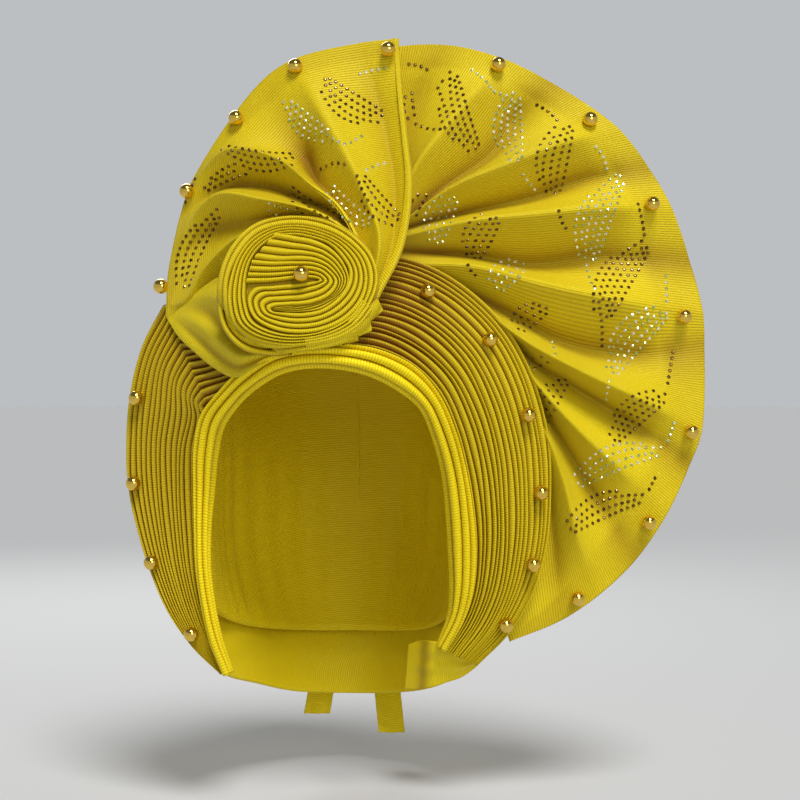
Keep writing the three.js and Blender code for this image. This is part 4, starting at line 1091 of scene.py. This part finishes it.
# Painted shade where the corner is folded in.
from_corner = (np.linspace(0, 1, len(points)) - CORNER_AT) / CORNER_SPREAD
corner_painted_shade = 0.5 * np.exp(-(from_corner**2))[:, None]
nape = add_surface("nape_wrap_cloth", points, u, v, plain_cloth, points - CAP_CENTRE, wall=1.2,
                   crease=corner_painted_shade)
finish_cloth(nape, (0.045, 0.36), "stretched", ["crown_cap_cloth"], "nape_wrap")

# %% [markdown]
# The wrap is tied in a knot behind, with two short tails. A knot tied for real would be hard to
# model and is seen from behind only, so it is an oval lump with shallow folds. The tails are bands
# close below it. The knot's place and the tails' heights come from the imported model.

# %% Knot and tails
KNOT_LOW, KNOT_HIGH = (np.array(corner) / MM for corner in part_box("nape_knot"))
knot_middle = (KNOT_LOW + KNOT_HIGH) / 2
knot_half = (KNOT_HIGH - KNOT_LOW) / 2
turn = np.linspace(0, 2 * np.pi, 73)[:, None]
up = np.linspace(0, np.pi, 40)[None, :]
lump = 1 + 0.07 * np.sin(5 * turn + 3 * np.cos(up)) * np.sin(up)
points = knot_middle + knot_half * 0.98 * np.stack([
    np.cos(turn) * np.sin(up) * lump, np.sin(turn) * np.sin(up) * lump, np.cos(up) + 0 * turn], -1)
u, v = plain_uv(length_along(points), length_along(points, 1))
knot = add_surface("nape_knot_cloth", points, u, v, plain_cloth, points - knot_middle, weld=True)
finish_cloth(knot, (0.016, 0.036), "folded", ["nape_wrap_cloth"], "nape_knot")

TAILS = [                 # plain solid, its side, x and y of its end, and its flat length in m
    ("tie_tail_left", -1, (-12, 84), 0.063),
    ("tie_tail_right", 1, (34, 76), 0.075),
]
for node, sign, end_place, tail_length in TAILS:
    low, high = (np.array(corner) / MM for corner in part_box(node))
    top = np.array([knot_middle[0] + 6 * sign, knot_middle[1], high[2]])
    end = np.array([*end_place, low[2]])
    bow = mix(top, end, 0.5) + np.array([3 * sign, 4, 0])
    t = np.linspace(0, 1, 70)
    w = np.linspace(-0.5, 0.5, 18)[None, :, None]
    wide = mix(7, 16, np.minimum(1, 2 * t))[:, None, None]
    line = curve(np.array([top, bow, end]), t)[:, None]
    ripple = 0.8 * np.cos(2 * np.pi * w * 1.5) * np.sin(np.pi * t * 1.5)[:, None, None]
    points = line + np.array([1.0, 0, 0]) * w * wide + np.array([0, 1.0, 0]) * ripple
    u, v = plain_uv(length_along(points), length_along(points, 1))
    tail = add_surface(f"{node}_cloth", points, u, v, plain_cloth, -FRONT, wall=0.9)
    finish_cloth(tail, (0.016, tail_length), "hung", ["nape_knot_cloth"], node)

# %% [markdown]
# Polished gold beads are sewn along the rims. Each one is a fine sphere where its plain solid
# is. The sphere is a cube with curved faces, because its squares are then all nearly the same
# size, while a ball of rings is crowded at its poles. The beads are one joined mesh.

# %% Gold beads
gold = Finish("polished_gold")
gold.shader.inputs["Base Color"].default_value = (0.82, 0.56, 0.10, 1)
gold.shader.inputs["Metallic"].default_value = 1.0
speckle = gold.noise(gold.add("ShaderNodeTexCoord").outputs["Object"], 900, 3)
gold.feed(gold.shader, "Roughness", gold.math("ADD", gold.math("MULTIPLY", speckle, 0.06), 0.02))


def ball(cuts):
    """A unit ball as points and four-sided faces: the six faces of a cube, each cut into
    cuts by cuts squares, and every point moved out to length 1."""
    line = np.tan(np.linspace(-np.pi / 4, np.pi / 4, cuts + 1))
    a, b = np.meshgrid(line, line, indexing="ij")
    sides = [np.roll(np.stack([np.full_like(a, sign), a * sign, b], axis=-1), axis, axis=-1)
             for axis in range(3) for sign in (1, -1)]
    points = unit(np.array(sides)).reshape(-1, 3)
    index = np.arange(len(points)).reshape(6, cuts + 1, cuts + 1)
    around = [index[:, :-1, :-1], index[:, 1:, :-1], index[:, 1:, 1:], index[:, :-1, 1:]]
    return points, np.stack(around, axis=-1).reshape(-1, 4)


bead_nodes = sorted(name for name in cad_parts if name.startswith("bead_"))
bead_places = np.array([np.mean(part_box(name), axis=0) for name in bead_nodes]) / MM
BEAD_RADIUS = 4.0
ball_points, ball_faces = ball(8)
points = (bead_places[:, None] + BEAD_RADIUS * ball_points[None]).reshape(-1, 3)
first = np.arange(len(bead_places)) * len(ball_points)
faces = (ball_faces[None] + first[:, None, None]).reshape(-1, 4)
beads = add_mesh("gold_beads", points, faces, gold.material, weld=True)
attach(beads, "root")
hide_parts(*bead_nodes)

# %% [markdown]
# Small faceted stones are glued on in leaves, a common trimming of such cloth: dark brown leaves
# and clear ones take turns round the fan. Each leaf is a few rows of dots that bow out from its
# base to its tip, and a stem is one dotted line. The leaves are placed by where they are seen in
# the photograph, and each stone then sits on the cloth that the line of sight meets.

# %% Where the stones are seen
VIEW_PIXELS = 800         # the view is 800 by 800 pixels
STONE_STEP = 6.3          # between stones along a row, in those pixels
ROW_STEP = 7.2            # between rows
LEAST_APART = 4.8         # between any two stones
LEAVES = [                # kind, base and tip as seen, and width, in those pixels
    ("dark", (450, 72), (475, 152), 28), ("clear", (513, 93), (516, 163), 28),
    ("dark", (567, 123), (552, 196), 31), ("clear", (619, 176), (588, 262), 33),
    ("dark", (645, 243), (602, 318), 33), ("clear", (666, 309), (609, 374), 31),
    ("dark", (665, 394), (611, 441), 27), ("clear", (661, 449), (575, 484), 25),
    ("dark", (643, 496), (568, 530), 24),
    ("dark", (410, 86), (414, 122), 9), ("dark", (428, 188), (412, 221), 10),
    ("clear", (453, 194), (434, 246), 27), ("dark", (495, 214), (471, 260), 29),
    ("clear", (524, 261), (493, 290), 25), ("dark", (548, 305), (515, 331), 22),
    ("dark", (554, 357), (527, 371), 9), ("dark", (566, 376), (540, 426), 22),
    ("dark", (321, 80), (384, 119), 27), ("clear", (284, 101), (330, 137), 20),
    ("dark", (222, 149), (296, 158), 19), ("dark", (271, 165), (202, 191), 13),
    ("clear", (262, 203), (302, 213), 9), ("dark", (286, 186), (345, 222), 16),
    ("clear", (327, 184), (373, 225), 16), ("dark", (358, 175), (400, 222), 21),
    ("dark", (218, 210), (183, 290), 22),
]
STEMS = [                 # kind, and the points of a dotted line as seen, in those pixels
    ("dark", [(409, 64), (420, 66), (431, 72)]), ("dark", [(438, 88), (447, 113)]),
    ("clear", [(472, 70), (484, 79), (494, 91), (508, 96)]), ("clear", [(523, 175), (535, 190)]),
    ("dark", [(537, 105), (549, 112), (558, 121)]), ("clear", [(596, 147), (603, 156), (607, 170)]),
    ("clear", [(586, 265), (590, 280), (595, 289)]), ("dark", [(559, 211), (562, 222), (568, 231)]),
    ("dark", [(638, 204), (642, 220), (645, 239)]), ("dark", [(599, 302), (602, 326), (602, 351)]),
    ("clear", [(666, 276), (667, 304)]), ("clear", [(609, 381), (606, 400)]),
    ("dark", [(673, 352), (670, 370), (667, 388)]), ("clear", [(674, 423), (668, 442)]),
    ("dark", [(655, 478), (648, 492)]), ("dark", [(416, 124), (430, 129), (445, 129)]),
    ("dark", [(468, 265), (472, 272), (478, 277)]), ("clear", [(552, 342), (556, 357)]),
    ("clear", [(360, 74), (374, 70), (387, 68)]), ("clear", [(333, 139), (346, 144), (362, 136)]),
    ("dark", [(321, 169), (334, 163), (348, 165)]), ("clear", [(367, 170), (378, 165), (389, 162)]),
    ("dark", [(246, 231), (253, 226), (260, 221)]), ("dark", [(195, 179), (190, 192), (184, 205)]),
]


def leaf_dots(base, tip, width):
    """The dots of one leaf: rows at even shares of its width, each bowed out by a sine from base
    to tip, and all of them bent a little to one side."""
    base, tip = np.array(base, float), np.array(tip, float)
    way = tip - base
    length = np.linalg.norm(way)
    aside = np.array([-way[1], way[0]]) / length
    rows = max(2, int(round(width / ROW_STEP)) + 1)
    s = np.linspace(0, 1, max(3, int(length / STONE_STEP) + 1))[None, :]
    k = np.linspace(-0.5, 0.5, rows)[:, None]
    off = width * k * np.sin(np.pi * mix(0.10, 0.90, s)) ** 0.8 + 0.10 * length * np.sin(np.pi * s)
    shifted = s + 0.5 * (np.arange(rows) % 2)[:, None] * STONE_STEP / length
    dots = base + way * shifted[..., None] + aside * off[..., None]
    return dots[(np.abs(k) * 2.2 * np.abs(2 * s - 1) < 0.98) & (shifted <= 1.02)]


def line_dots(points):
    """Evenly spaced dots on the smooth curve through the points."""
    fine = curve(np.array(points, float), np.linspace(0, 1, 200))
    done = length_along(fine)
    places = np.arange(0, done[-1] + 0.5, STONE_STEP)
    return np.stack([np.interp(places, done, fine[:, axis]) for axis in (0, 1)], axis=-1)


def spread_out(dots, apart):
    """Keeps a dot only where no dot kept before it is nearer than apart."""
    kept = []
    for dot in dots:
        if all(np.hypot(*(dot - other)) >= apart for other in kept):
            kept.append(dot)
    return np.array(kept)


seen = {}
for kind in ("dark", "clear"):
    dots = [line_dots(points) for k, points in STEMS if k == kind]
    dots += [leaf_dots(base, tip, width) for k, base, tip, width in LEAVES if k == kind]
    seen[kind] = spread_out(np.concatenate(dots), LEAST_APART)
    print(kind, "stones seen:", len(seen[kind]))

# %% [markdown]
# To set a stone on the cloth, a ray is sent from the camera's place through the dot, and the
# stone goes where the ray first meets the fan or the panel. Where the brim, the rosette or the
# folded edge is in front there is no stone. A stone has its place in the mesh, so it stays there
# in every view. It has a nearly flat top, a ring of facets and a shallow point behind, which
# sinks into the cloth.

# %% Set the stones on the cloth
SIGHT = camera_data.sensor_width / camera_data.lens / VIEW_PIXELS
carriers = [fan, panel]
hiders = [brim, winding, tongue, outer, hem]
depsgraph = bpy.context.evaluated_depsgraph_get()
trees = [BVHTree.FromObject(piece, depsgraph) for piece in carriers + hiders]


def cloth_seen_at(dot):
    """The point and normal on the fan or the panel in the line of sight through a pixel, or None
    where another piece is in front."""
    eye = camera.location
    half = VIEW_PIXELS / 2
    way = Vector(((dot[0] - half) * SIGHT, 1, (half - dot[1]) * SIGHT)).normalized()
    hits = [(tree.ray_cast(eye, way), number) for number, tree in enumerate(trees)]
    hits = [(hit, number) for hit, number in hits if hit[0] is not None]
    if not hits:
        return None
    (place, normal, _, _), number = min(hits, key=lambda pair: pair[0][3])
    if number >= len(carriers):
        return None
    return place, normal if normal.dot(way) < 0 else -normal


STONE_RADIUS = 1.1
TOP_SHARE = 0.55          # the top's radius, as a share of the stone's
RING_HEIGHT, TOP_HEIGHT, BASE_HEIGHT = 0.65, 0.70, -0.15
turn = np.arange(8) * np.pi / 4
round_turn = np.stack([np.cos(turn), np.sin(turn), 0 * turn], axis=-1)
STONE = np.concatenate([
    STONE_RADIUS * round_turn, TOP_SHARE * STONE_RADIUS * round_turn + [0, 0, RING_HEIGHT],
    [[0, 0, TOP_HEIGHT]], [[0, 0, BASE_HEIGHT]],
])
near, beside = np.arange(8), np.roll(np.arange(8), -1)
STONE_FACES = np.concatenate([
    np.stack([near, beside, beside + 8], axis=-1), np.stack([near, beside + 8, near + 8], axis=-1),
    np.stack([near + 8, beside + 8, 0 * near + 16], axis=-1),
    np.stack([beside, near, 0 * near + 17], axis=-1),
])


def add_stones(name, dots, material, seed):
    """One mesh of all stones of a kind, each turned at random about its normal."""
    found = [hit for hit in map(cloth_seen_at, dots) if hit is not None]
    places = np.array([tuple(place) for place, _ in found]) / MM
    up = np.array([tuple(normal) for _, normal in found])
    spin = np.random.default_rng(seed).uniform(0, 2 * np.pi, len(found))[:, None]
    side = unit(np.cross(up, [0.3, 0.1, 1.0]))
    side = side * np.cos(spin) + np.cross(up, side) * np.sin(spin)
    frames = np.stack([side, np.cross(up, side), up], axis=1)
    points = places[:, None] + np.einsum("pk,nkj->npj", STONE, frames)
    faces = STONE_FACES[None] + (np.arange(len(found)) * len(STONE))[:, None, None]
    piece = add_mesh(name, points.reshape(-1, 3), faces.reshape(-1, 3), material, flat=True)
    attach(piece, "root")
    print(name, "holds", len(found), "stones")
    return piece


# %% [markdown]
# Such stones are glass or resin with foil behind. Clear glass would show the yellow cloth and no
# sparkle, so they are shiny and partly metallic, in two tones, under a clear coat.


# %% Stone finishes
def stone_finish(name, first, second, metal, rough):
    """Glass on foil: two tones, which a noise with lumps the size of a stone mixes."""
    stone = Finish(name)
    body = stone.add("ShaderNodeTexCoord").outputs["Object"]
    tone = stone.math("GREATER_THAN", stone.noise(body, 420, 1), 0.5)
    stone.feed(stone.shader, "Base Color", stone.blend(tone, first, second))
    stone.feed(stone.shader, "Roughness", stone.math("MULTIPLY", stone.noise(body, 1500, 1), rough))
    stone.shader.inputs["Metallic"].default_value = metal
    stone.shader.inputs["Coat Weight"].default_value = 0.35
    stone.shader.inputs["Coat Roughness"].default_value = 0.03
    return stone.material


dark_look = stone_finish("smoky_stone", (0.08, 0.035, 0.004, 1), (0.24, 0.14, 0.01, 1), 0.6, 0.35)
clear_look = stone_finish("iris_stone", (0.88, 0.86, 0.66, 1), (0.45, 0.52, 0.16, 1), 0.6, 0.3)
dark_stones = add_stones("dark_stones", seen["dark"], dark_look, 21)
clear_stones = add_stones("clear_stones", seen["clear"], clear_look, 22)
